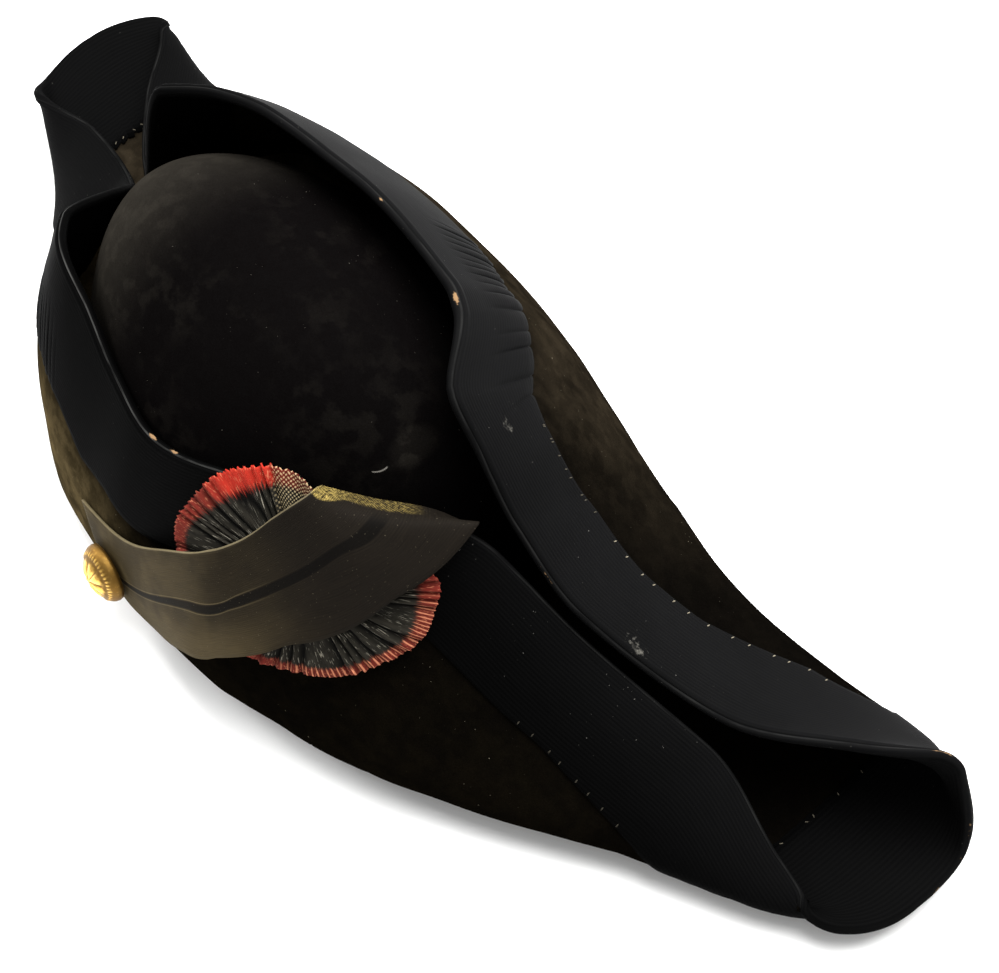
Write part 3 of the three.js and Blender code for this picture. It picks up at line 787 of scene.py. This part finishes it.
def flap_strip(side):
    """The folded profile carried along a rim, its ends cut back to the mitres."""
    share, turn = ribbon_profile()
    station = strip_stations(side)[:, None]
    even = (station - BACK_X) / (FRONT_X - BACK_X)
    start, end = BACK_X + RIBBON["width"] * share, FRONT_X - RIBBON["width"] * share
    x = start + (end - start) * even
    outside = np.cos(turn) > 0.5
    pad = pads(station, side) * ramp(share, 0.3, 0.8) * outside
    drop = ribbon_drop(x, share, turn, side)
    face = felt_face(x, drop + PAD["scallop"] * pad * ramp(share, 0.6, 1), side)
    from_end = np.minimum(x - BACK_X, FRONT_X - x)
    ahead = np.where(x - BACK_X == from_end, -1, 1)[..., None] * face[3]
    corner = np.clip(1 - from_end / corner_radius(x, side), 0, 1) / np.sqrt(2)
    lift = PAD[side] * pad * (1 - 0.55 * ramp(share, 0.88, 1))
    if side == ROLLED["side"]:
        lift = lift + ROLLED["height"] * bell(station, ROLLED["at"], ROLLED["half"]) * np.sin(turn)
    rim_x, rim_length = rim_stations(side, BACK_X, FRONT_X, 1)
    along = np.interp(station, rim_x, rim_length) + 0 * share
    weave = np.stack([along, across_ribbon(drop, turn), knocks(station, drop, turn, side)], -1)
    return folded(face, over_edge(face, ahead, corner), turn + 0 * along, lift), weave


def end_strip(end_x, inward, wear, scalloped):
    """The folded profile carried round a horn's end, from the right mitre under to the left one."""
    share, turn = ribbon_profile()
    x = end_x + inward * RIBBON["width"] * share
    inner_edge = ramp(share, 0.75, 1) * (np.cos(turn) < 0)
    steps = np.linspace(0, 1, 70)[:, None] ** 1.1
    grids = []
    for side in (RIGHT, LEFT):
        start, whole = ribbon_drop(x, share, turn, side), flap_lengths(x, side)[1]
        drop = start + (whole - start) * steps
        scallop = np.abs(np.sin(np.pi * (whole - drop) / SCALLOP["pitch"])) - 0.5
        face = felt_face(x + inward * scalloped * inner_edge * scallop, drop, side)
        corner = np.clip(1 - drop / corner_radius(x, side), 0, 1) / np.sqrt(2)
        edge_way = over_edge(face, -inward * face[3], np.sqrt(1 - corner ** 2))
        across = across_ribbon(RIBBON["width"] * share, turn)
        worn = wear * np.sin(turn) ** 2 * ramp(drop, 4, 16)
        weave = np.stack(np.broadcast_arrays(side * (drop - whole), across, worn), -1)
        grids.append((folded(face, edge_way, turn + 0 * drop, 0 * drop), weave))
    (right, right_weave), (left, left_weave) = grids
    right[-1] = left[-1] = (right[-1] + left[-1]) / 2
    return grids


ribbon_grids = [flap_strip(RIGHT), flap_strip(LEFT), *end_strip(BACK_X, 1, 0, SCALLOP["back"]),
                *end_strip(FRONT_X, -1, 0.42, SCALLOP["front"])]
ribbon = make_piece("rim_ribbon_silk", ribbon_grids, ["rim_ribbon"],
                    RIBBON["thickness"], even=False)

# %% [markdown]
# ## The ribbon's ribs and wear
# Ribbed silk has cords under a fine warp, about 27 of them across this ribbon, and they run along
# it. A sine across the width gives the cords, in colour and as a bump, and noise stretched along
# the ribbon gives single threads. The ribbon is painted grey on the left flap and round the back
# horn, as painted light on the sides that face the lamps; on the right front it keeps its black.
# A thin pale line along the fold is a painted highlight, strongest on the right flap's back half.
# The fold on the rim takes the knocks: the sheet's third number says where it has worn down to
# the tan felt, and where the silk has only scuffed grey.

# %% Weave the ribbon
RIB_PITCH = 1.3
FOLD_LINE = {"at": 0.7, "half": 0.3}
TURN = 2 * np.pi

silk = Finish("rim_silk_finish", Specular_IOR_Level=0.006)
along, across, wear = silk.weave()
ahead, sideways, upwards = silk.parts(silk.place())
rib = 0.5 + 0.5 * silk.math("SINE", across * (TURN / RIB_PITCH))
threads = silk.noise(1, silk.stretched(along / 14, across / 0.5, 0.0), detail=2)
clouds = silk.noise(24, silk.stretched(along, across, 0.0), detail=3)
# painted light: the ribbon is painted grey on the left flap, which faces the lamps, and round the back
# horn, broken into clouds
painted_light_grey = silk.smooth(sideways, -0.02, 0.05) * silk.smooth(ahead, -0.16, -0.05) * (0.7 + 0.6 * clouds)
painted_light_grey = painted_light_grey * (0.3 + 0.7 * silk.smooth(across, -2, 1)) + 0.3 * silk.smooth(ahead, -0.12, -0.18)
cords = 0.15 + 0.35 * rib + 0.5 * threads
black = silk.mix(cords, paint(1, 1, 1), paint(5, 5, 5))
grey = silk.mix(cords, paint(7, 7, 8), paint(18, 18, 18))
body = silk.mix(painted_light_grey, black, grey)
lint = silk.smooth(silk.noise(0.9, detail=1), 0.77, 0.82) * silk.smooth(silk.noise(30, detail=2), 0.5, 0.62)
body = silk.mix(lint * 0.5, body, paint(120, 118, 112))
# painted highlight: a thin pale line along the fold, strongest on the right flap's back half, broken by the
# threads
fold_highlight = silk.smooth(silk.math("ABSOLUTE", across - FOLD_LINE["at"]), FOLD_LINE["half"], 0.05)
fold_highlight = fold_highlight * (0.2 + 0.8 * silk.smooth(sideways, 0.01, -0.02) * silk.smooth(ahead, 0.05, -0.02))
body = silk.mix(fold_highlight * silk.smooth(threads, 0.25, 0.75) * 0.55, body, paint(84, 84, 82))
broken = silk.noise(1.6, detail=3)
scuffed = silk.smooth(broken - wear, 0.75, 1.15)
chipped = silk.smooth(broken + wear, 1.0, 1.25)
body = silk.mix(scuffed, body, paint(92, 90, 84))
silk.colour(silk.mix(chipped, body, paint(126, 100, 72)))
silk.roughness(0.5 + 0.2 * threads + 0.2 * chipped)
silk.bump(rib * (1 - 0.5 * painted_light_grey) + 0.6 * threads, 0.1, 0.5)
silk.on(ribbon)

# %% [markdown]
# ## The stitches
# The ribbon's edges are held by single stitches of waxed linen thread, a few millimetres apart. Only
# some of them show. Each is a short bar of thread over the edge, and all are one small shape, copied.

# %% Sew the edges
STITCH = {"half": 0.7, "radius": 0.24, "rows": 5, "sides": 6, "inside": 1.1}
SEAMS = [
    {"side": LEFT, "from": 84, "to": 128, "pitch": 4.2, "pale": 0.25},
    {"side": LEFT, "from": 140, "to": 226, "pitch": 7.6, "pale": 1},
    {"side": RIGHT, "from": 165, "to": 214, "pitch": 6.8, "pale": 0.1},
]
END_SEAMS = [
    {"end": BACK_X, "inward": 1, "pitch": 3.7, "pale": 0.55},
    {"end": FRONT_X, "inward": -1, "pitch": 11, "pale": 0.4},
]


def bars(middle, axis, out, pale):
    """A round-ended bar at each point: half circles about the axis that close in at both ends."""
    tilt = np.linspace(0, np.pi, STITCH["rows"])[:, None, None]
    turn = np.linspace(0, TURN, STITCH["sides"], endpoint=False)[:, None]
    middle, axis, out = (part[:, None, None] for part in (middle, axis, out))
    across = np.cross(axis, out)
    ring = np.cos(turn) * across + np.sin(turn) * out
    points = middle + STITCH["half"] * np.cos(tilt) * axis + STITCH["radius"] * np.sin(tilt) * ring
    return points, 0 * points + pale


def flap_seam(seam):
    """Stitches over a sewn edge on a flap's outer face, each a little off its even place."""
    side = seam["side"]
    x = rim_stations(side, seam["from"], seam["to"], seam["pitch"])[0]
    x = x + 0.9 * np.sin(3.7 * np.arange(len(x)))
    x_low = x + RIBBON["width"] * (1 - 2 * (x - BACK_X) / (FRONT_X - BACK_X))
    drop = ribbon_drop(x_low, np.ones_like(x), 0 * x, side) - STITCH["inside"]
    point, out, down, forward = felt_face(x_low, drop, side)
    return bars(point + (RIBBON["off_felt"] + RIBBON["thickness"] / 2) * out, square_to(down, out), out,
                seam["pale"])


def end_seam(seam):
    """Stitches over the inner sewn edge of the strip round a horn's end."""
    x = seam["end"] + seam["inward"] * (RIBBON["width"] - STITCH["inside"])
    found = []
    for side in (RIGHT, LEFT):
        edge, whole = ribbon_drop(np.array([x]), 1, np.pi, side), flap_lengths(np.array([x]), side)[1]
        drop = np.arange(edge[0] + seam["pitch"] / 2, whole[0], seam["pitch"])
        found.append(felt_face(x + 0 * drop, drop, side))
    point, out, down, forward = (np.concatenate(parts) for parts in zip(*found))
    lift = RIBBON["off_felt"] + RIBBON["thickness"] / 2
    return bars(point - lift * out, square_to(forward, out), -out, seam["pale"])


seams = [flap_seam(seam) for seam in SEAMS] + [end_seam(seam) for seam in END_SEAMS]
stitches = make_piece("ribbon_stitches", seams, closed=True)
linen = Finish("linen_thread", Roughness=0.9, Specular_IOR_Level=0.05)
linen.colour(linen.mix(linen.weave()[0], paint(26, 24, 20), paint(122, 115, 99)))
linen.on(stitches)

# %% [markdown]
# ## The cockade
# A cockade is a long ribbon drawn up along one edge until it lies in a ring of folds. This one is
# squashed to an oval. The surface is a disc whose height follows the folds' zigzag round the ring,
# growing towards the rim, where a finer pleating and a frayed edge are added, and it is bent to lie
# on the flap. The strap presses it in on one side.

# %% Fold the cockade
COCKADE = {"x": 70, "drop": 27, "lift": 5.7, "along": 48, "upward": 36, "bend": 130, "thickness": 0.45}
PRESSED = {"share": 0.32, "direction": 52, "spread": 54}
FOLD = {"count": 41, "steps": 20, "rings": 40, "height": 0.75, "fine": 0.14, "slant": 0.62, "fray": 0.006}
RED = {"edge": 0.09, "wide": 0.12, "wide_at": 125, "wide_half": 45, "right": 0.06, "right_at": 5,
       "bright_at": 112}


def seat(x, drop, lift):
    """A point off the right flap's felt, with its ways out, level along the flap and up it."""
    point, out, down, forward = (part[0] for part in felt_face([x], [drop], RIGHT))
    along = unit(np.cross([0, 0, 1], out))
    return point + out * lift, out, along, np.cross(out, along)


def bent_oval(reach, angle, height):
    """Shares of an oval wrapped on a round of the cockade's bend, whose axis runs up the flap."""
    point, out, along, upward = seat(COCKADE["x"], COCKADE["drop"], COCKADE["lift"])
    turn = reach * COCKADE["along"] * np.cos(angle) / COCKADE["bend"]
    radius = COCKADE["bend"] + height
    sideways, outward = radius * np.sin(turn), radius * np.cos(turn) - COCKADE["bend"]
    upwards = reach * COCKADE["upward"] * np.sin(angle)
    return point + sideways[..., None] * along + upwards[..., None] * upward + outward[..., None] * out


def degrees_from(angle, direction):
    """The angle from a direction in degrees, between -180 and 180."""
    return (np.degrees(angle) - direction + 180) % 360 - 180


def pressed_edge(angle):
    """The share of its reach that the cockade keeps: least where the strap's fold presses on it."""
    off = np.clip(degrees_from(angle, PRESSED["direction"]) / PRESSED["spread"], -1, 1)
    uneven = 0.03 * bell(degrees_from(angle, 100), 0, 15) - 0.06 * bell(degrees_from(angle, 148), 0, 28)
    return 1 + uneven - PRESSED["share"] * np.cos(np.pi / 2 * off) ** 2


def red_width(angle):
    """The red edge as a share of the reach: broad where the ribbon is turned over, thin below."""
    wide = RED["wide"] * bell(degrees_from(angle, RED["wide_at"]), 0, RED["wide_half"])
    return RED["edge"] + wide + RED["right"] * bell(degrees_from(angle, RED["right_at"]), 0, 25)


def cockade_disc():
    """Height is a slanted wave round the ring times a share that grows with the reach.

    The folds are of uneven width, so the wave's turns are counted along a wandering angle."""
    count = FOLD["count"] * FOLD["steps"]
    angle = np.linspace(0, TURN, count, endpoint=False)
    share = np.linspace(0.06, 1, FOLD["rings"])[:, None]
    turns = FOLD["count"] * angle / TURN + 0.5 * np.sin(7 * angle) + 0.3 * np.sin(13 * angle + 1)
    turns = turns + 0.25 * np.sin(5 * share + 3 * angle)
    wave = 0.5 - 0.5 * np.cos(TURN * (turns % 1) ** FOLD["slant"])
    uneven = np.sin(2.4 * np.floor(turns)) * np.sin(0.71 * np.floor(turns))
    frayed = np.sin(97 * angle) + np.sin(161 * angle + 1) + 0.8 * np.sin(251 * angle)
    torn = 0.5 + bell(degrees_from(angle, RED["wide_at"]), 0, RED["wide_half"])
    reach = share * pressed_edge(angle) * (1 + 0.012 * np.sin(9 * angle) * share)
    reach = reach * (1 + FOLD["fray"] * frayed * torn * ramp(share, 0.86, 1))
    height = FOLD["height"] * share ** 0.8 * (2 * wave - 1) * (1 + 0.45 * uneven)
    height = height + FOLD["fine"] * share ** 3 * np.sin(4 * TURN * turns) + 0.6 * (1 - share)
    band = 1 - (1 - share) / red_width(angle)
    weave = np.stack(np.broadcast_arrays(band, angle, wave), -1)
    return bent_oval(reach, angle + 0 * share, height), weave


cockade = make_piece("cockade_pleats", [cockade_disc()], ["cockade"],
                     COCKADE["thickness"], closed=True, even=False)

# %% [markdown]
# ## The cockade's colours
# The ribbon is black with a red edge, frayed into pale threads, and a little of its cream and black
# dotted weave shows beside the strap. The sheet carries how far each point lies into the red edge,
# its angle and its place across a fold. The fold ridges are painted lighter, grey on the black and a
# brighter red on the red, as painted highlights. Threads lie on the ridges too, so all of it comes
# from the same zigzag as the shape.

# %% Colour the cockade
DOTTED = {"from": 68, "to": 98, "soft": 5}
SEWN = {"at": -50, "from": 0.62, "full": 0.8, "count": 160}

rosette = Finish("cockade_finish", Roughness=0.8, Specular_IOR_Level=0.05)
band, angle, ridge = rosette.weave()
ray = rosette.noise(1, rosette.stretched(angle * 24, band * 0.6, 0.0), detail=2)
thread = rosette.noise(1, rosette.stretched(angle * 95, band * 0.9, 3.0), detail=2)
fibre = rosette.noise(1, rosette.stretched(angle * 150, band * 2.5, 7.0), detail=1)
edge = rosette.smooth(band + 1.2 * thread + 0.5 * ray, 0.75, 1.15)
# painted highlight: the ridges of the black folds are painted grey
black = rosette.mix(ridge * ray, paint(5, 5, 4), paint(52, 49, 42))
black = rosette.mix(rosette.smooth(thread, 0.6, 0.7) * ridge * 0.7, black, paint(170, 164, 148))
below = rosette.smooth(rosette.math("COSINE", angle - np.radians(SEWN["at"])), SEWN["from"], SEWN["full"])
sewn = rosette.math("SINE", angle * SEWN["count"] + 2 * ray)
turned = rosette.smooth(rosette.math("COSINE", angle - np.radians(RED["bright_at"])), 0.86, 0.99)
# painted highlight: the red is painted lighter on the ridges, along with its random tone
red = rosette.mix(0.3 * ridge + 0.7 * ray, paint(46, 15, 12), paint(118, 42, 33))
red = rosette.mix(turned * (0.25 + 0.75 * ray), red, paint(186, 46, 32))
red = rosette.mix(below * 0.5, red, paint(62, 22, 17))
pale = rosette.smooth(fibre, 0.58, 0.72) * 0.45 + below * rosette.smooth(sewn, 0.3, 0.95) * 0.55
red = rosette.mix(pale, red, paint(206, 132, 98))
from_patch, to_patch, soft = (np.radians(DOTTED[key]) for key in ("from", "to", "soft"))
patch = rosette.smooth(angle, from_patch - soft, from_patch)
patch = patch * rosette.smooth(angle, to_patch + soft, to_patch)
dots = rosette.math("SINE", angle * 190) * rosette.math("SINE", band * 24)
cream = rosette.mix(rosette.smooth(dots, 0.0, 0.6), paint(18, 17, 14), paint(168, 152, 116))
body = rosette.mix(edge, black, red)
rosette.colour(rosette.mix(patch * rosette.smooth(band, -2.6, -0.6) * 0.75, body, cream))
rosette.bump(thread, 0.25, 0.5)
rosette.on(cockade)

# %% [markdown]
# ## The strap
# The strap is a wide ribbed ribbon. It starts under the button, crosses the cockade and is creased
# over the rim, with its end tucked inside. Its two edges are listed by station and drop, as they
# were sewn, with the height of its underside over the felt and how far its middle sags between
# them. A smooth curve joins the rows.

# %% Lay the strap
STRAP = {"thickness": 0.9, "rows_per_step": 14, "columns": 29, "width": 41, "crease": 8}
STRAP_EDGES = np.array([
    (-27, 58, 4, 79, 1.8, 0),
    (-1, 45, 23, 82, 2.1, 0),
    (25, 33, 46, 72, 7.7, 0),
    (43, 25, 64, 62, 11.3, 0),
    (51, 16, 76, 54, 11.5, 0),
    (58, 5, 88, 40, 11.4, 0),
    (61, -1, 94.5, 23, 11.3, 1),
    (63, -5, 98, 8, 9.9, 4.6),
    (64, -7, 99, -8, 7, 7.2),
    (64.3, -4.6, 99.5, -5, 1, 2.1),
    (64.5, -2.2, 99.5, -2.4, -3.4, 0),
    (64.5, 6, 100, 7, -3.6, 0),
    (64.5, 15, 100, 15, -3.4, 0),
])


def through_rows(rows, steps):
    """A Catmull-Rom curve through the rows of a table, with steps points from each to the next."""
    ends = np.concatenate([2 * rows[:1] - rows[1:2], rows, 2 * rows[-1:] - rows[-2:-1]])
    place = np.linspace(0, len(rows) - 1, (len(rows) - 1) * steps + 1)
    k = np.minimum(place.astype(int), len(rows) - 2)
    t = (place - k)[:, None]
    before, start, end, after = (ends[k + n] for n in range(4))
    bend = 2 * before - 5 * start + 4 * end - after
    twist = 3 * start - before - 3 * end + after
    return start + t / 2 * (end - before + t * (bend + t * twist))


def strap_band():
    """Lines across from the upper edge to the lower one, at the strap's height, that sag as parabolas."""
    edges = through_rows(STRAP_EDGES, STRAP["rows_per_step"])
    across = np.linspace(0, 1, STRAP["columns"])
    upper_x, upper_drop, lower_x, lower_drop, lift, sag = (edges[:, k, None] for k in range(6))
    x = upper_x + (lower_x - upper_x) * across
    drop = upper_drop + (lower_drop - upper_drop) * across + sag * 4 * across * (1 - across)
    point, out, down, forward = felt_face(x, drop, RIGHT)
    points = point + out * (lift + STRAP["thickness"] / 2)[..., None]
    middle = points[:, STRAP["columns"] // 2]
    along = np.concatenate([[0], np.cumsum(np.linalg.norm(np.diff(middle, axis=0), axis=1))])
    to_crease = along[STRAP["crease"] * STRAP["rows_per_step"]] - along
    weave = np.stack(np.broadcast_arrays(to_crease[:, None], STRAP["width"] * across, 0), -1)
    return points, weave


strap_grid = strap_band()
strap = make_piece("loop_strap_silk", [strap_grid], ["loop_strap"], STRAP["thickness"])
print("strap from end to crease:", round(strap_grid[1][0, 0, 0]), "mm")

# %% [markdown]
# ## The strap's stripe
# The strap was black too and has faded to olive, more at the lower end. One dark stripe runs down
# its middle between thin pale lines and widens and browns towards the rim. The edges are crisp, and
# a gold dotted edge of the weave shows along the crease.

# %% Weave the strap
STRIPE = {"at": 20.5, "thin": 1.1, "broad": 1.75, "line": 0.35}
GOLD = {"thin": -4.6, "deep": 8.5, "corner": 11, "to": 30, "from": -11}
STRAP_RIB = 0.7

olive_silk = Finish("strap_silk_finish", Roughness=0.72, Specular_IOR_Level=0.03)
left_to_go, across, unused = olive_silk.weave()
rib = 0.5 + 0.5 * olive_silk.math("SINE", across * (TURN / STRAP_RIB))
threads = olive_silk.noise(1, olive_silk.stretched(left_to_go / 9, across / 0.4, 0.0), detail=2)
clouds = olive_silk.smooth(olive_silk.noise(22, detail=3), 0.38, 0.64)
lighter_share = olive_silk.smooth(left_to_go, 20, 130)
cords = 0.2 * rib + 0.8 * threads
dark = olive_silk.mix(cords, paint(13, 11, 9), paint(27, 23, 18))
pale = olive_silk.mix(cords, paint(50, 43, 29), paint(82, 71, 48))
lower = olive_silk.smooth(across, 22, 36) * olive_silk.smooth(left_to_go, 30, 80)
body = olive_silk.mix(lighter_share * (0.5 + 0.5 * clouds) + 0.6 * lower, dark, pale)
from_stripe = olive_silk.math("ABSOLUTE", across - STRIPE["at"])
half = STRIPE["broad"] - (STRIPE["broad"] - STRIPE["thin"]) * olive_silk.smooth(left_to_go, 60, 130)
stripe = olive_silk.smooth(from_stripe - half, 0.35, -0.35) * olive_silk.smooth(left_to_go, -4, 2)
from_line = olive_silk.math("ABSOLUTE", from_stripe - half - 0.5)
line = olive_silk.smooth(from_line, STRIPE["line"], 0.05) * olive_silk.smooth(left_to_go, 40, 70)
stripe_colour = olive_silk.mix(lighter_share, paint(8, 7, 6), paint(12, 11, 11))
body = olive_silk.mix(stripe * 0.85, body, stripe_colour)
body = olive_silk.mix(line * 0.25, body, paint(128, 114, 84))
crisp = olive_silk.smooth(across, 0.5, 0.15) * (0.3 + 0.9 * threads)
body = olive_silk.mix(crisp * 0.6, body, paint(128, 117, 90))
at_corner = olive_silk.smooth(across, GOLD["corner"], 2)
gold_depth = GOLD["thin"] + GOLD["deep"] * at_corner
selvedge = olive_silk.smooth(left_to_go - gold_depth, 0.9, -0.9)
selvedge = selvedge * olive_silk.smooth(left_to_go, GOLD["from"], GOLD["from"] + 1)
selvedge = selvedge * olive_silk.smooth(across, GOLD["to"], GOLD["to"] - 6) * (0.35 + 0.65 * at_corner)
dots = olive_silk.math("SINE", left_to_go * (TURN / 0.9)) * olive_silk.math("SINE", across * (TURN / 0.9))
flecks = olive_silk.noise(1.1, detail=2)
gilt_share = selvedge * olive_silk.smooth(0.5 * dots + 1.8 * flecks + 0.5 * threads, 0.95, 1.55)
body = olive_silk.mix(gilt_share, body, paint(160, 139, 76))
lint = olive_silk.smooth(olive_silk.noise(0.6, detail=1), 0.73, 0.8)
olive_silk.colour(olive_silk.mix(lint * 0.25, body, paint(140, 130, 108)))
olive_silk.bump(0.4 * rib + threads, 0.1, 0.5)
olive_silk.on(strap)

# %% [markdown]
# ## The button
# The button is a thin brass dome, stamped and gilded. Its raised ornament is a plain rosette of
# petals inside a ring of beads. A stamping has no undercuts, so one height over a disc holds all of
# it, and the rim turns under to a flat back.

# %% Stamp the button
BUTTON = {"x": -4, "drop": 67, "lift": 3.4, "radius": 11, "dome": 7.5, "edge": 1.2}
ROSETTE = {"petals": 8, "relief": 0.75, "reach": 0.72, "beads": 40, "bead_relief": 0.35}


def button_dome(rings=48, sectors=160):
    """A dome's height plus petals, a bead ring and a raised rim, closed under by a flat back."""
    point, out, along, upward = seat(BUTTON["x"], BUTTON["drop"], BUTTON["lift"])
    share = np.linspace(0, 1, rings)[:, None]
    angle = np.linspace(0, 2 * np.pi, sectors, endpoint=False)
    dome = BUTTON["edge"] + (BUTTON["dome"] - BUTTON["edge"]) * np.sqrt(1 - share ** 2)
    leaf = np.maximum(0, np.sin(np.pi * share / ROSETTE["reach"])) * (share < ROSETTE["reach"])
    petal = ROSETTE["relief"] * leaf * np.abs(np.cos(ROSETTE["petals"] / 2 * angle)) ** 0.7
    middle = ROSETTE["relief"] * np.exp(-(share / 0.12) ** 2)
    ring = np.exp(-((share - 0.84) / 0.05) ** 2)
    beads = ROSETTE["bead_relief"] * ring * (0.5 + 0.5 * np.cos(ROSETTE["beads"] * angle))
    relief = petal + middle + beads
    height = np.concatenate([dome + relief, [[0], [0]] + 0 * angle])
    reach = np.concatenate([share, [[0.97], [0]]]) * BUTTON["radius"]
    raised = np.concatenate([relief / ROSETTE["relief"], [[0], [0]] + 0 * angle])
    points = (point + (reach * np.cos(angle))[..., None] * along
              + (reach * np.sin(angle))[..., None] * upward + height[..., None] * out)
    return points, np.stack([raised, reach + 0 * angle, 0 * raised], -1)


button = make_piece("gilt_button", [button_dome()], ["button"], closed=True)

# %% [markdown]
# ## The button's gilding
# Gilding wears on the high points and keeps dirt in the low ones. The stamping carries its own
# relief, so the dirt can follow it.

# %% Gild the button
gilt = Finish("gilt_finish", Metallic=1.0)
relief, reach, unused = gilt.weave()
grime = gilt.smooth(relief + 0.5 * gilt.noise(1.2, detail=3), 0.75, 0.25)
gold = gilt.mix(gilt.noise(2.5, detail=3), paint(204, 150, 58), paint(247, 208, 118))
gilt.colour(gilt.mix(grime * 0.85, gold, paint(74, 47, 16)))
gilt.roughness(0.26 + 0.3 * grime)
gilt.bump(gilt.noise(0.6, detail=2), 0.08, 0.4)
gilt.on(button)
